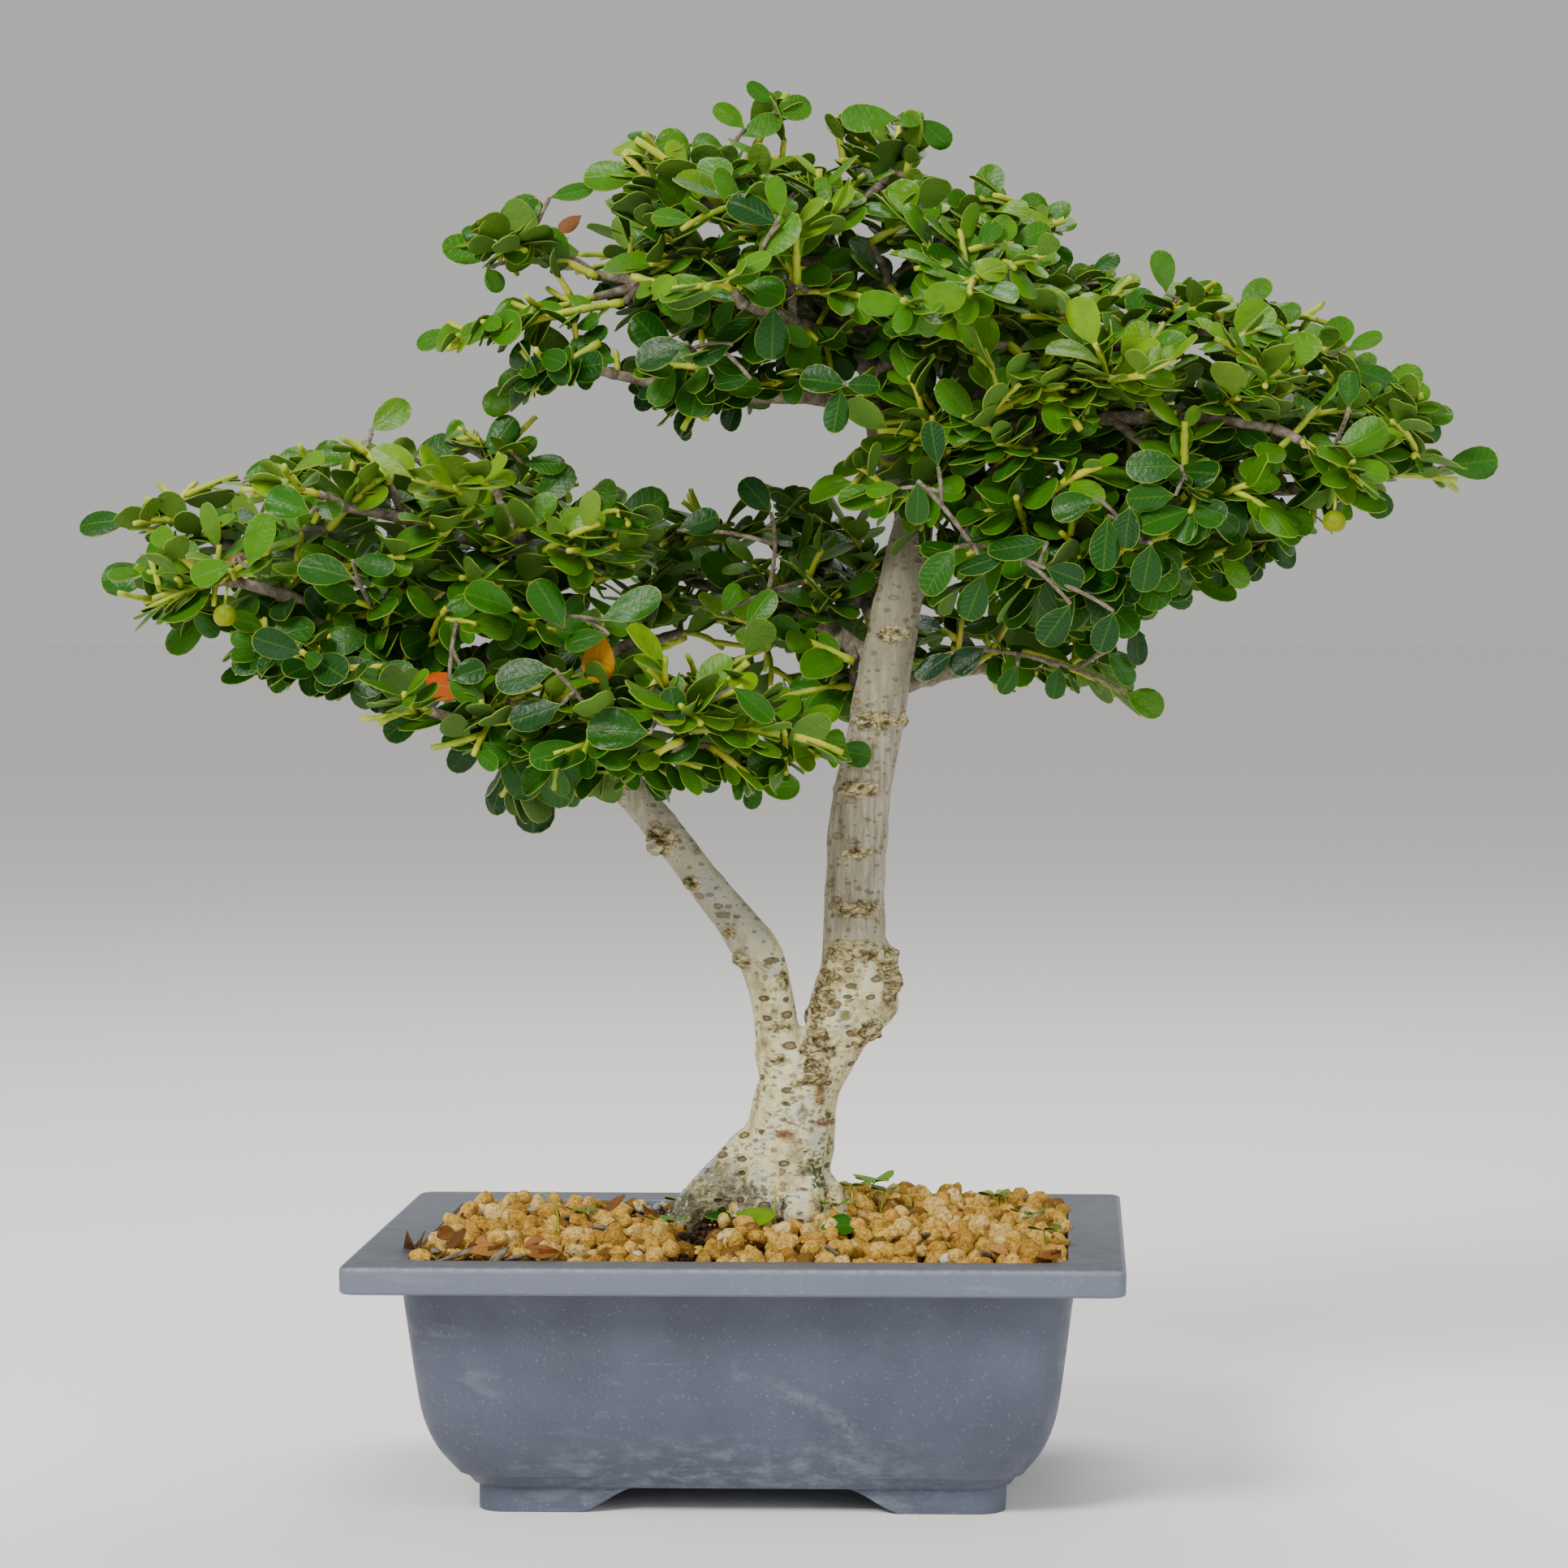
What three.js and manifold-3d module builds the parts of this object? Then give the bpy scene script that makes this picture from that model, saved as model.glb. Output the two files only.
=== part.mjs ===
// A wall cotoneaster grown as a bonsai: a forked trunk with five pads of small
// leaves, standing in the soil of a rectangular training pot.
// Millimetres, +Z up, the front of the tree faces -Y. Everything is placed from
// the middle of the plane that the pot's four feet stand on, and the finished
// group is then moved so that the origin lies under the middle of the whole tree.

import * as THREE from 'three';
import { mergeVertices } from 'three/addons/utils/BufferGeometryUtils.js';
import Module from 'manifold-3d';

const wasm = await Module();
wasm.setup();

// Driving dimensions of the pot
const RIM_HALF_WIDTH = 120;
const RIM_HALF_DEPTH = 88;
const POT_HEIGHT = 82;
const LIP_HEIGHT = 8.7;
const LIP_EDGE = 0.9;
const LIP_CORNER = 4;
const WALL = 2.5;
const FLOOR_THICKNESS = 3;
const BODY_CORNER = 12;
const CORNER_SEGMENTS = 2;
const FOOT_HEIGHT = 8;
const FOOT_INSET = 37.3;
const FOOT_WALL = 7;
const FOOT_CORNER = 9;
const FOOT_INNER_CORNER = 3;
const DRAIN_RADIUS = 6;
const DRAIN_SPACING = 96;
const DRAIN_SIDES = 10;

// The arches between the feet: half their width at the top and where they end
const LONG_ARCH = { halfTop: 32, halfBottom: 51.5 };
const SHORT_ARCH = { halfTop: 10, halfBottom: 24 };
const ARCH_SEGMENTS = 4;

// How far the body's wall stands in from the rim's edge, at each height
const BODY_LEVELS = [
  { z: 8, inset: 34.3 },
  { z: 13, inset: 30.3 },
  { z: 21, inset: 25.3 },
  { z: 31, inset: 21.5 },
  { z: 42, inset: 19.6 },
  { z: 55, inset: 17.9 },
  { z: 75, inset: 15.4 },
];

// The middle of the whole tree's outline, seen from above, from the pot's middle
const OUTLINE_MIDDLE = { x: 12.7, y: 6.5 };

// Driving dimensions of the soil and the gap that touching pieces keep
const GAP = 0.35;
const SOIL_EDGE_HEIGHT = 79.5;
const MOUNDS = [
  { x: 12, y: 0, rise: 8, radius: 40 },
  { x: 52, y: 22, rise: 5, radius: 49 },
];
const GRAIN_PITCH = 7.4;
const GRAIN_RISE = 5;
const GRAIN_RISES = [0.6, 1.25];
const GRAIN_SHARPNESS = 1.5;
const GRAIN_JITTER = 1.5;

// Driving dimensions of the wood
const SIDES = { trunk: 10, leftStem: 7, rightStem: 8, root: 5, limb: 4, twig: 3 };
const LIMB_SPAN_SHARE = 0.65;
const ROOT_TAPER = 0.5;
const BRANCHLET_RADIUS = 2.1;
const STEEP = 0.85;

// Driving dimensions of the green shoots
const TWIG_RADIUS = 1.5;
const TWIG_TIP_RADIUS = 1.1;
const DEFAULT_RISE = 7;
const WOOD_SHARE = 0.28;
const FORK_PLACE = 0.5;
const FORK_LEAD = 0.2;
const SIDE_SHOOTS = 1;
const SIDE_SHOOT_LENGTHS = [14, 26];
const SIDE_SHOOT_LIFTS = [-0.15, 0.6];
const SIDE_SHOOT_AIM = { forward: 0.6, aside: 0.8 };

// Driving dimensions of the leaves and berries
const LEAF_LENGTH = 17;
const LEAF_WIDTH = 11.5;
const LEAF_THICKNESS = 1.3;
const LEAF_SCALES = [0.82, 1.15];
const LEAF_SIDES = 6;
const MIDRIB_PLACE = 0.6;
const LEAF_PITCH = 6.2;
const LEAF_TIP_MARGIN = 1.5;
const LEAVES_PER_TIP = 6;
const BERRY_RADIUS = 3.6;
const BERRY_HANG = 0.85;

// How a leaf leaves its shoot, in shares of the shoot's own direction, its side and
// the upward direction, how far each is turned from the last, and where it faces
const LEAF_AIM = { forward: 0.6, aside: 0.85, swing: 0.45, lift: 0.05, turn: 2.4, stray: 1.2 };
const LEAF_FACE = { up: 0.7, outward: 0.6 };

// Edges shorter than this are closed up in a finished piece
const SHORTEST_EDGE = 0.05;

const UP = new THREE.Vector3(0, 0, 1);
const FRONT = new THREE.Vector3(0, -1, 0);

// A repeatable draw between 0 and 1 for a few whole-number keys
function draw(...keys) {
  let sum = 0;
  keys.forEach((key, place) => {
    sum += (key + 1.7) * (12.9898 + 65.134 * place);
  });
  const wave = Math.sin(sum) * 43758.5453;
  return wave - Math.floor(wave);
}

// A closed solid from a geometry whose shared corners are merged, without the
// triangles that the merging closed up
function solid(geometry) {
  geometry.deleteAttribute('normal');
  geometry.deleteAttribute('uv');
  const merged = mergeVertices(geometry, 1e-4);
  const corners = [];
  for (let i = 0; i < merged.index.count; i += 3) {
    const [a, b, c] = merged.index.array.slice(i, i + 3);
    if (a !== b && b !== c && c !== a) corners.push(a, b, c);
  }
  return new wasm.Manifold(new wasm.Mesh({
    numProp: 3,
    vertProperties: Float32Array.from(merged.attributes.position.array),
    triVerts: Uint32Array.from(corners),
  }));
}

function joined(solids) {
  return solids.reduce((whole, next) => whole.add(next));
}

function piece(name, shape, material) {
  const mesh = shape.simplify(SHORTEST_EDGE).getMesh();
  const geometry = new THREE.BufferGeometry();
  geometry.setAttribute('position', new THREE.BufferAttribute(mesh.vertProperties, 3));
  geometry.setIndex(new THREE.BufferAttribute(mesh.triVerts, 1));
  geometry.computeVertexNormals();
  const result = new THREE.Mesh(geometry, material);
  result.name = name;
  return result;
}

// Pot

function roundedRectangle(halfWidth, halfDepth, radius) {
  const x = halfWidth - radius;
  const y = halfDepth - radius;
  const shape = new THREE.Shape();
  shape.absarc(x, y, radius, 0, Math.PI / 2);
  shape.absarc(-x, y, radius, Math.PI / 2, Math.PI);
  shape.absarc(-x, -y, radius, Math.PI, Math.PI * 1.5);
  shape.absarc(x, -y, radius, Math.PI * 1.5, Math.PI * 2);
  return shape;
}

// A body that follows the rim's rectangle, set in by a given amount at each level
function lofted(levels, corner) {
  const steps = levels.length - 1;
  const outline = roundedRectangle(RIM_HALF_WIDTH, RIM_HALF_DEPTH, corner);
  const geometry = new THREE.ExtrudeGeometry(outline, {
    depth: steps,
    steps,
    bevelEnabled: false,
    curveSegments: CORNER_SEGMENTS,
  });
  const position = geometry.attributes.position;
  for (let i = 0; i < position.count; i += 1) {
    const level = levels[Math.round(position.getZ(i))];
    const x = position.getX(i);
    const y = position.getY(i);
    position.setXYZ(i, x - Math.sign(x) * level.inset, y - Math.sign(y) * level.inset, level.z);
  }
  return solid(geometry);
}

function lip() {
  const underside = POT_HEIGHT - LIP_HEIGHT;
  return lofted([
    { z: underside, inset: LIP_EDGE },
    { z: underside + LIP_EDGE, inset: 0 },
    { z: POT_HEIGHT - LIP_EDGE, inset: 0 },
    { z: POT_HEIGHT, inset: LIP_EDGE },
  ], LIP_CORNER);
}

// The inside of the pot, with its walls moved in by an amount and open to a height
function cavity(clearance, topHeight) {
  const floor = FOOT_HEIGHT + FLOOR_THICKNESS;
  const levels = BODY_LEVELS.filter((level, k) => k % 2 === 1).map((level) => (
    { z: level.z + WALL / 2, inset: level.inset + WALL + clearance }
  ));
  levels.unshift({ z: floor + clearance, inset: BODY_LEVELS[0].inset + clearance });
  const mouth = BODY_LEVELS[BODY_LEVELS.length - 1].inset + WALL + clearance;
  levels.push({ z: POT_HEIGHT - LIP_HEIGHT, inset: mouth });
  levels.push({ z: topHeight, inset: mouth });
  return lofted(levels, BODY_CORNER - WALL);
}

// The gap between two feet on one side, an arch with S-shaped ends
function archCutter({ halfTop, halfBottom }, run) {
  const below = -2;
  const rise = FOOT_HEIGHT;
  const shape = new THREE.Shape();
  shape.moveTo(-halfBottom, below);
  shape.lineTo(halfBottom, below);
  shape.lineTo(halfBottom, 0);
  const bend = (halfBottom - halfTop) / 2;
  shape.bezierCurveTo(
    halfBottom - bend, 0, halfTop + bend, rise, halfTop, rise,
  );
  shape.lineTo(-halfTop, rise);
  shape.bezierCurveTo(
    -halfTop - bend, rise, -halfBottom + bend, 0, -halfBottom, 0,
  );
  const geometry = new THREE.ExtrudeGeometry(shape, {
    depth: run,
    bevelEnabled: false,
    curveSegments: ARCH_SEGMENTS,
  });
  geometry.translate(0, 0, -run / 2);
  geometry.rotateX(Math.PI / 2);
  return geometry;
}

function feet() {
  const outline = roundedRectangle(
    RIM_HALF_WIDTH - FOOT_INSET, RIM_HALF_DEPTH - FOOT_INSET, FOOT_CORNER,
  );
  const inner = roundedRectangle(
    RIM_HALF_WIDTH - FOOT_INSET - FOOT_WALL,
    RIM_HALF_DEPTH - FOOT_INSET - FOOT_WALL,
    FOOT_INNER_CORNER,
  );
  outline.holes.push(new THREE.Path(inner.getPoints(1)));
  const ring = solid(new THREE.ExtrudeGeometry(outline, {
    depth: FOOT_HEIGHT + 1,
    bevelEnabled: false,
    curveSegments: CORNER_SEGMENTS,
  }));
  const shortArch = archCutter(SHORT_ARCH, RIM_HALF_WIDTH * 2);
  shortArch.rotateZ(Math.PI / 2);
  const longArch = archCutter(LONG_ARCH, RIM_HALF_DEPTH * 2);
  return ring.subtract(solid(longArch)).subtract(solid(shortArch));
}

function drains() {
  return [-0.5, 0.5].map((side) => {
    const run = (FOOT_HEIGHT + FLOOR_THICKNESS) * 2;
    const hole = new THREE.CylinderGeometry(DRAIN_RADIUS, DRAIN_RADIUS, run, DRAIN_SIDES);
    hole.rotateX(Math.PI / 2);
    hole.translate(side * DRAIN_SPACING, 0, FOOT_HEIGHT);
    return solid(hole);
  });
}

function potSolid() {
  const shell = lofted(BODY_LEVELS, BODY_CORNER).add(lip()).add(feet());
  return shell.subtract(cavity(0, POT_HEIGHT * 1.5)).subtract(joined(drains()));
}

// Wood: lines of points with the radius of the wood at each, [x, y, z, radius]

const TRUNK = [
  [8, 0, 62, 19], [9.5, 0, 84, 18], [9.6, 0, 99, 15.6], [12.4, 0, 111, 14.9],
  [14, 0, 123, 13.6], [16, 0, 132, 12.8], [16.5, 0, 141, 7],
];

const LEFT_STEM = [
  [13, 0, 124, 8.6], [9.6, 0, 137, 8.4], [7.8, 0, 151, 7.1], [5.6, -1, 162, 7.2],
  [3, -1, 170, 7.7], [-0.8, -2, 176, 7.6], [-6, -2, 184, 6.9], [-15.5, -3, 196.6, 6.4],
  [-25.5, -4, 209.7, 6.5], [-35.5, -5, 221.6, 6.4], [-43.5, -6, 231, 6.2],
  [-50.4, -7, 241.2, 5.8], [-55.7, -8, 253, 5.2], [-58.5, -8, 266, 4.6],
  [-62.2, -9, 279.3, 4], [-68.8, -9, 292.4, 3.4], [-75.4, -10, 305.5, 2.8],
];

const RIGHT_STEM = [
  [17, 0, 124, 9.4], [22, 0, 134, 9.6], [26.4, 0, 143, 10], [30, 0, 152, 12],
  [33, 0, 160, 12.8], [33.6, 0, 168, 11.4], [33.4, 0, 177, 10.4], [33.4, 0, 190, 9.8],
  [34.4, 0, 208, 10], [36, 0, 224, 9.3], [39.6, 1, 242, 9], [42.4, 1, 258, 8.7],
  [45.3, 2, 274, 8.3], [48.5, 2, 290, 7.5], [51.4, 2, 305, 6.9], [52.2, 2, 315, 6.4],
  [48, 2, 325, 6], [42.4, 1, 339, 5.6], [41.4, 1, 352, 5], [38.8, 0, 366, 4.6],
  [32.2, 0, 379, 3.8], [24.3, 0, 392, 3.2], [19.1, 0, 402.6, 2.6],
];

const ROOTS = [
  [[6, 0, 112, 8], [-7, -2, 99, 8.4], [-19, -4, 88, 6.4], [-40, -10, 62, 4]],
  [[14, -4, 100, 8], [20, -13, 90, 6.4], [26, -30, 62, 4]],
  [[16, 0, 98, 9], [28, -4, 87, 6.8], [50, -10, 62, 4]],
  [[10, 4, 98, 9], [8, 17, 84, 7], [4, 38, 56, 4]],
  [[6, 4, 96, 8], [-9, 15, 82, 6], [-34, 32, 54, 3.4]],
  [[16, 4, 96, 8], [30, 15, 82, 6], [52, 32, 54, 3.4]],
];

const LIMBS = {
  left_front: [
    [-54, -8, 247, 3.4], [-71.5, -22, 252, 3.1], [-100, -31, 258, 2.9],
    [-123, -34, 268, 2.6], [-139, -36, 284, 2.2], [-160, -38, 291, 1.8],
  ],
  left_long: [
    [-60, -8, 270, 3.3], [-86, -4, 288, 2.8], [-107, -4, 294, 2.5],
    [-130, -6, 298, 2.2], [-151, -8, 300, 1.9], [-170, -10, 303, 1.6],
  ],
  left_back: [
    [-61, -8, 275, 3.2], [-84, 18, 285, 2.7], [-110, 34, 291, 2.3],
    [-138, 42, 297, 1.9], [-156, 44, 301, 1.6],
  ],
  left_mid: [
    [-68, -8, 291, 3], [-84, -24, 303, 2.5], [-104, -36, 310, 2], [-124, -43, 314, 1.6],
  ],
  left_rear: [
    [-70, -8, 294, 2.8], [-74, 18, 306, 2.4], [-80, 40, 312, 1.9], [-86, 56, 314, 1.6],
  ],
  left_top: [[-74, -10, 303, 2.8], [-80, -9, 316, 2.2], [-84, -7, 324, 1.6]],
  left_inner: [[-71, -9, 297, 2.6], [-60, -17, 304, 2.1], [-50, -21, 308, 1.6]],
  low_front: [
    [-53, -6, 245, 3.4], [-46, -30, 250, 3], [-34, -52, 251, 2.4], [-24, -66, 249, 1.7],
  ],
  low_left: [
    [-55, -6, 251, 3.2], [-66, -34, 252, 2.7], [-78, -54, 250, 2.2], [-88, -64, 248, 1.6],
  ],
  low_right: [
    [-50, -6, 240, 3], [-34, -16, 247, 2.6], [-18, -26, 250, 2.2], [-6, -34, 249, 1.7],
  ],
  low_back: [
    [-58, -5, 262, 3], [-48, 24, 268, 2.5], [-40, 46, 271, 2], [-34, 56, 272, 1.7],
  ],
  back_left: [
    [43, 4, 262, 4], [26, 28, 274, 3.2], [6, 52, 284, 2.6], [-14, 70, 289, 2],
    [-26, 79, 291, 1.6],
  ],
  back_mid: [
    [44, 5, 272, 3.6], [36, 36, 284, 3], [26, 62, 291, 2.4], [18, 84, 295, 1.7],
  ],
  low_right_back: [
    [41, 3, 255, 3.8], [60, 28, 261, 3.2], [80, 52, 264, 2.5], [94, 67, 262, 1.7],
  ],
  back_right: [
    [48, 5, 285, 4], [64, 34, 296, 3.2], [86, 60, 301, 2.4], [100, 75, 303, 1.7],
  ],
  right_main: [
    [50, 1, 320, 5.4], [70, 2, 333, 4.6], [98, 0, 334, 3.9], [130, -2, 327, 3.2],
    [158, -3, 321, 2.6], [182, -4, 321, 2], [200, -5, 323, 1.6],
  ],
  right_front: [
    [52, -1, 318, 4.4], [80, -22, 337, 3.6], [110, -38, 341, 2.9], [140, -46, 342, 2.2],
    [166, -50, 338, 1.6],
  ],
  right_back: [
    [52, 4, 321, 4.2], [80, 26, 337, 3.4], [112, 42, 342, 2.7], [144, 49, 343, 2.1],
    [168, 52, 342, 1.6],
  ],
  right_up: [
    [48, 1, 326, 4.4], [76, -2, 351, 3.4], [104, -4, 363, 2.7], [134, -4, 369, 2],
    [158, -3, 371, 1.6],
  ],
  right_low: [
    [50, -4, 314, 4.2], [62, -14, 325, 3.6], [75, -20, 323, 3.2], [79, -28, 314, 2.8],
    [88, -36, 304, 2.2], [98, -44, 299, 1.6],
  ],
  right_hang: [
    [54, 6, 316, 3.4], [80, 38, 322, 2.7], [106, 58, 314, 2.1], [124, 70, 306, 1.6],
  ],
  top_low_left: [
    [42, -3, 345, 3.6], [22, -14, 350, 3.1], [-3, -22, 350, 2.5], [-26, -28, 353, 1.9],
    [-40, -31, 356, 1.6],
  ],
  top_left: [
    [38, -2, 367, 3.8], [14, -6, 377, 3.2], [-12, -8, 383, 2.6], [-36, -9, 387, 2],
    [-50, -9, 389, 1.6],
  ],
  top_front: [
    [40, -4, 359, 3.6], [25, -28, 368, 3], [11, -48, 374, 2.4], [2, -62, 376, 1.7],
  ],
  top_right_front: [
    [41, -4, 355, 3.6], [56, -26, 371, 2.9], [68, -44, 380, 2.3], [76, -56, 384, 1.7],
  ],
  top_right: [[34, 0, 375, 3.4], [52, -1, 391, 2.8], [68, -3, 400, 2.2], [80, -4, 404, 1.7]],
  top_back: [[40, 3, 361, 3.6], [24, 28, 371, 3], [8, 48, 378, 2.3], [-2, 60, 380, 1.7]],
  top_back_right: [
    [42, 4, 351, 3.4], [58, 28, 366, 2.8], [70, 48, 375, 2.2], [79, 60, 379, 1.7],
  ],
  top_back_left: [[36, 2, 371, 3.2], [14, 18, 383, 2.6], [-10, 30, 389, 2], [-28, 36, 392, 1.6]],
  top_upper_left: [[25, -1, 391, 2.8], [6, -4, 402, 2.3], [-12, -5, 410, 1.7]],
  top_upper_right: [[20, 0, 400, 2.5], [34, 4, 412, 1.9], [42, 5, 419, 1.6]],
  top_apex: [[19.5, 0, 402, 2.6], [13, -1, 414, 2], [10, -2, 421, 1.6]],
};

// Leafy sprays. Each leaves its limb at a share of the limb's length and ends in
// a cut tip; further tips are shoots that fork from it. Rise is how far the
// spray arches up, size scales its leaves, and berryAt is the share of it at
// which a berry hangs.
const YOUNG = 'young';
const MATURE = 'mature';

const SPRAYS = {
  left_spray_1: { limb: 'left_long', at: 1, tips: [[-201, -10, 312], [-181, 14, 326]], tone: YOUNG },
  left_spray_2: {
    limb: 'left_front', at: 1, tips: [[-194, -36, 283]], tone: YOUNG, rise: 3, berryAt: 0.45,
  },
  left_spray_3: { limb: 'left_long', at: 0.62, tips: [[-146, -6, 333]], tone: YOUNG },
  left_spray_4: { limb: 'left_mid', at: 0.7, tips: [[-127, -26, 339]], tone: YOUNG },
  left_spray_5: { limb: 'left_mid', at: 1, tips: [[-154, -62, 318]], tone: YOUNG },
  left_spray_6: { limb: 'left_mid', at: 0.35, tips: [[-88, -64, 322]], tone: YOUNG },
  left_spray_7: { limb: 'left_top', at: 1, tips: [[-72, -16, 336], [-106, 8, 338]], tone: YOUNG },
  left_spray_8: { limb: 'left_inner', at: 1, tips: [[-32, -30, 312]], tone: MATURE },
  left_spray_9: {
    limb: 'left_front', at: 0.6, tips: [[-154, -54, 266], [-112, -76, 264]], tone: MATURE,
    rise: -4,
  },
  left_spray_10: { limb: 'left_back', at: 1, tips: [[-186, 50, 308], [-166, 60, 282]], tone: YOUNG },
  left_spray_11: { limb: 'left_back', at: 0.55, tips: [[-142, 80, 306]], tone: MATURE },
  left_spray_12: { limb: 'left_rear', at: 1, tips: [[-100, 86, 316], [-58, 62, 325]], tone: YOUNG },

  low_spray_1: { limb: 'low_right', at: 1, tips: [[10, -44, 243], [22, -36, 236]], tone: YOUNG },
  low_spray_2: { limb: 'low_right', at: 0.5, tips: [[-4, -48, 265]], tone: YOUNG },
  low_spray_3: { limb: 'low_front', at: 1, tips: [[-6, -90, 247], [-28, -84, 268]], tone: YOUNG },
  low_spray_4: { limb: 'low_front', at: 0.55, tips: [[-46, -90, 236]], tone: MATURE },
  low_spray_5: { limb: 'low_left', at: 1, tips: [[-112, -82, 247]], tone: MATURE },
  low_spray_6: {
    limb: 'low_left', at: 0.5, tips: [[-84, -84, 230], [-68, -52, 226]], tone: MATURE, size: 1.1,
  },
  low_spray_7: { limb: 'low_back', at: 1, tips: [[-12, 82, 268], [-62, 74, 260]], tone: MATURE },

  rear_spray_1: { limb: 'back_left', at: 1, tips: [[-46, 98, 300]], tone: MATURE },
  rear_spray_2: { limb: 'back_left', at: 0.6, tips: [[-30, 56, 322]], tone: MATURE },
  rear_spray_3: { limb: 'back_left', at: 0.5, tips: [[-2, 84, 258]], tone: MATURE },
  rear_spray_4: { limb: 'back_mid', at: 1, tips: [[10, 106, 306]], tone: MATURE },
  rear_spray_5: { limb: 'back_mid', at: 0.6, tips: [[47, 96, 286], [4, 84, 325]], tone: MATURE },
  rear_spray_6: { limb: 'low_right_back', at: 1, tips: [[122, 88, 252]], tone: YOUNG },
  rear_spray_7: { limb: 'low_right_back', at: 0.6, tips: [[78, 86, 246]], tone: MATURE },
  rear_spray_8: { limb: 'back_right', at: 1, tips: [[120, 98, 302], [76, 90, 322]], tone: YOUNG },

  right_spray_1: { limb: 'right_main', at: 1, tips: [[228, -6, 324]], tone: YOUNG },
  right_spray_2: { limb: 'right_main', at: 0.8, tips: [[214, -16, 350]], tone: YOUNG, rise: -3 },
  right_spray_3: {
    limb: 'right_front', at: 1, tips: [[197, -60, 318]], tone: YOUNG, rise: 3, berryAt: 0.75,
  },
  right_spray_4: { limb: 'right_front', at: 0.75, tips: [[172, -54, 358]], tone: YOUNG, rise: -3 },
  right_spray_5: { limb: 'right_front', at: 0.55, tips: [[150, -70, 308]], tone: MATURE, rise: 2 },
  right_spray_6: { limb: 'right_low', at: 1, tips: [[122, -62, 290]], tone: MATURE, size: 1.1 },
  right_spray_7: { limb: 'right_low', at: 0.42, tips: [[94, -66, 332]], tone: MATURE, size: 1.1 },
  right_spray_8: { limb: 'right_up', at: 1, tips: [[190, 0, 374]], tone: YOUNG },
  right_spray_9: { limb: 'right_up', at: 0.66, tips: [[152, -14, 386]], tone: YOUNG },
  right_spray_10: { limb: 'right_up', at: 0.35, tips: [[116, 6, 391]], tone: YOUNG },
  right_spray_11: { limb: 'right_front', at: 0.32, tips: [[128, -82, 354]], tone: YOUNG },
  right_spray_12: { limb: 'right_back', at: 1, tips: [[198, 66, 348]], tone: YOUNG },
  right_spray_13: {
    limb: 'right_back', at: 0.6, tips: [[160, 86, 354], [120, 84, 358]], tone: YOUNG,
  },
  right_spray_14: { limb: 'right_hang', at: 1, tips: [[150, 92, 292]], tone: MATURE },

  top_spray_1: { limb: 'top_left', at: 1, tips: [[-88, -12, 403]], tone: YOUNG },
  top_spray_2: { limb: 'top_left', at: 0.68, tips: [[-97, -34, 366]], tone: YOUNG, rise: 2 },
  top_spray_3: { limb: 'top_low_left', at: 1, tips: [[-73, -42, 350]], tone: MATURE },
  top_spray_4: { limb: 'top_low_left', at: 0.55, tips: [[-20, -48, 336]], tone: MATURE },
  top_spray_5: { limb: 'top_upper_left', at: 1, tips: [[-42, -8, 430], [-28, 14, 430]], tone: YOUNG },
  top_spray_6: { limb: 'top_apex', at: 1, tips: [[12, -6, 437]], tone: YOUNG },
  top_spray_7: { limb: 'top_upper_right', at: 1, tips: [[54, 8, 431], [30, 15, 432]], tone: YOUNG },
  top_spray_8: { limb: 'top_right', at: 1, tips: [[101, -8, 408], [76, -26, 414]], tone: YOUNG },
  top_spray_9: { limb: 'top_front', at: 1, tips: [[-10, -88, 380]], tone: YOUNG },
  top_spray_10: { limb: 'top_front', at: 0.55, tips: [[18, -52, 408]], tone: YOUNG },
  top_spray_11: {
    limb: 'top_right_front', at: 1, tips: [[88, -82, 386], [54, -80, 370]], tone: YOUNG,
  },
  top_spray_12: { limb: 'top_back', at: 1, tips: [[-14, 88, 386], [14, 74, 406]], tone: YOUNG },
  top_spray_13: {
    limb: 'top_back_right', at: 1, tips: [[94, 86, 386], [58, 88, 366]], tone: MATURE,
  },
  top_spray_14: { limb: 'top_back_left', at: 1, tips: [[-58, 50, 400]], tone: YOUNG },
  top_spray_15: { limb: 'top_left', at: 0.45, tips: [[-34, -36, 404]], tone: MATURE },
};

function lineCurve(line) {
  const points = line.map(([x, y, z]) => new THREE.Vector3(x, y, z));
  return new THREE.CatmullRomCurve3(points, false, 'catmullrom', 0.5);
}

function radiusAlong(line) {
  return (t) => {
    const place = t * (line.length - 1);
    const before = Math.min(Math.floor(place), line.length - 2);
    return THREE.MathUtils.lerp(line[before][3], line[before + 1][3], place - before);
  };
}

// Rings from one share of a curve to another, each turned as little as possible
// from the first, whose first corner points up, or to the front on upright wood
function ringsAlong(curve, segments, from, to) {
  const rings = [];
  for (let step = 0; step <= segments; step += 1) {
    const t = THREE.MathUtils.lerp(from, to, step / segments);
    const tangent = curve.getTangent(t);
    const last = rings[step - 1];
    const across = last ? last.across.clone() : tangent.clone().cross(
      Math.abs(tangent.z) > STEEP ? FRONT : UP,
    );
    across.addScaledVector(tangent, -across.dot(tangent)).normalize();
    const aside = new THREE.Vector3().crossVectors(across, tangent);
    rings.push({ t, centre: curve.getPoint(t), across, aside });
  }
  return rings;
}

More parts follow.
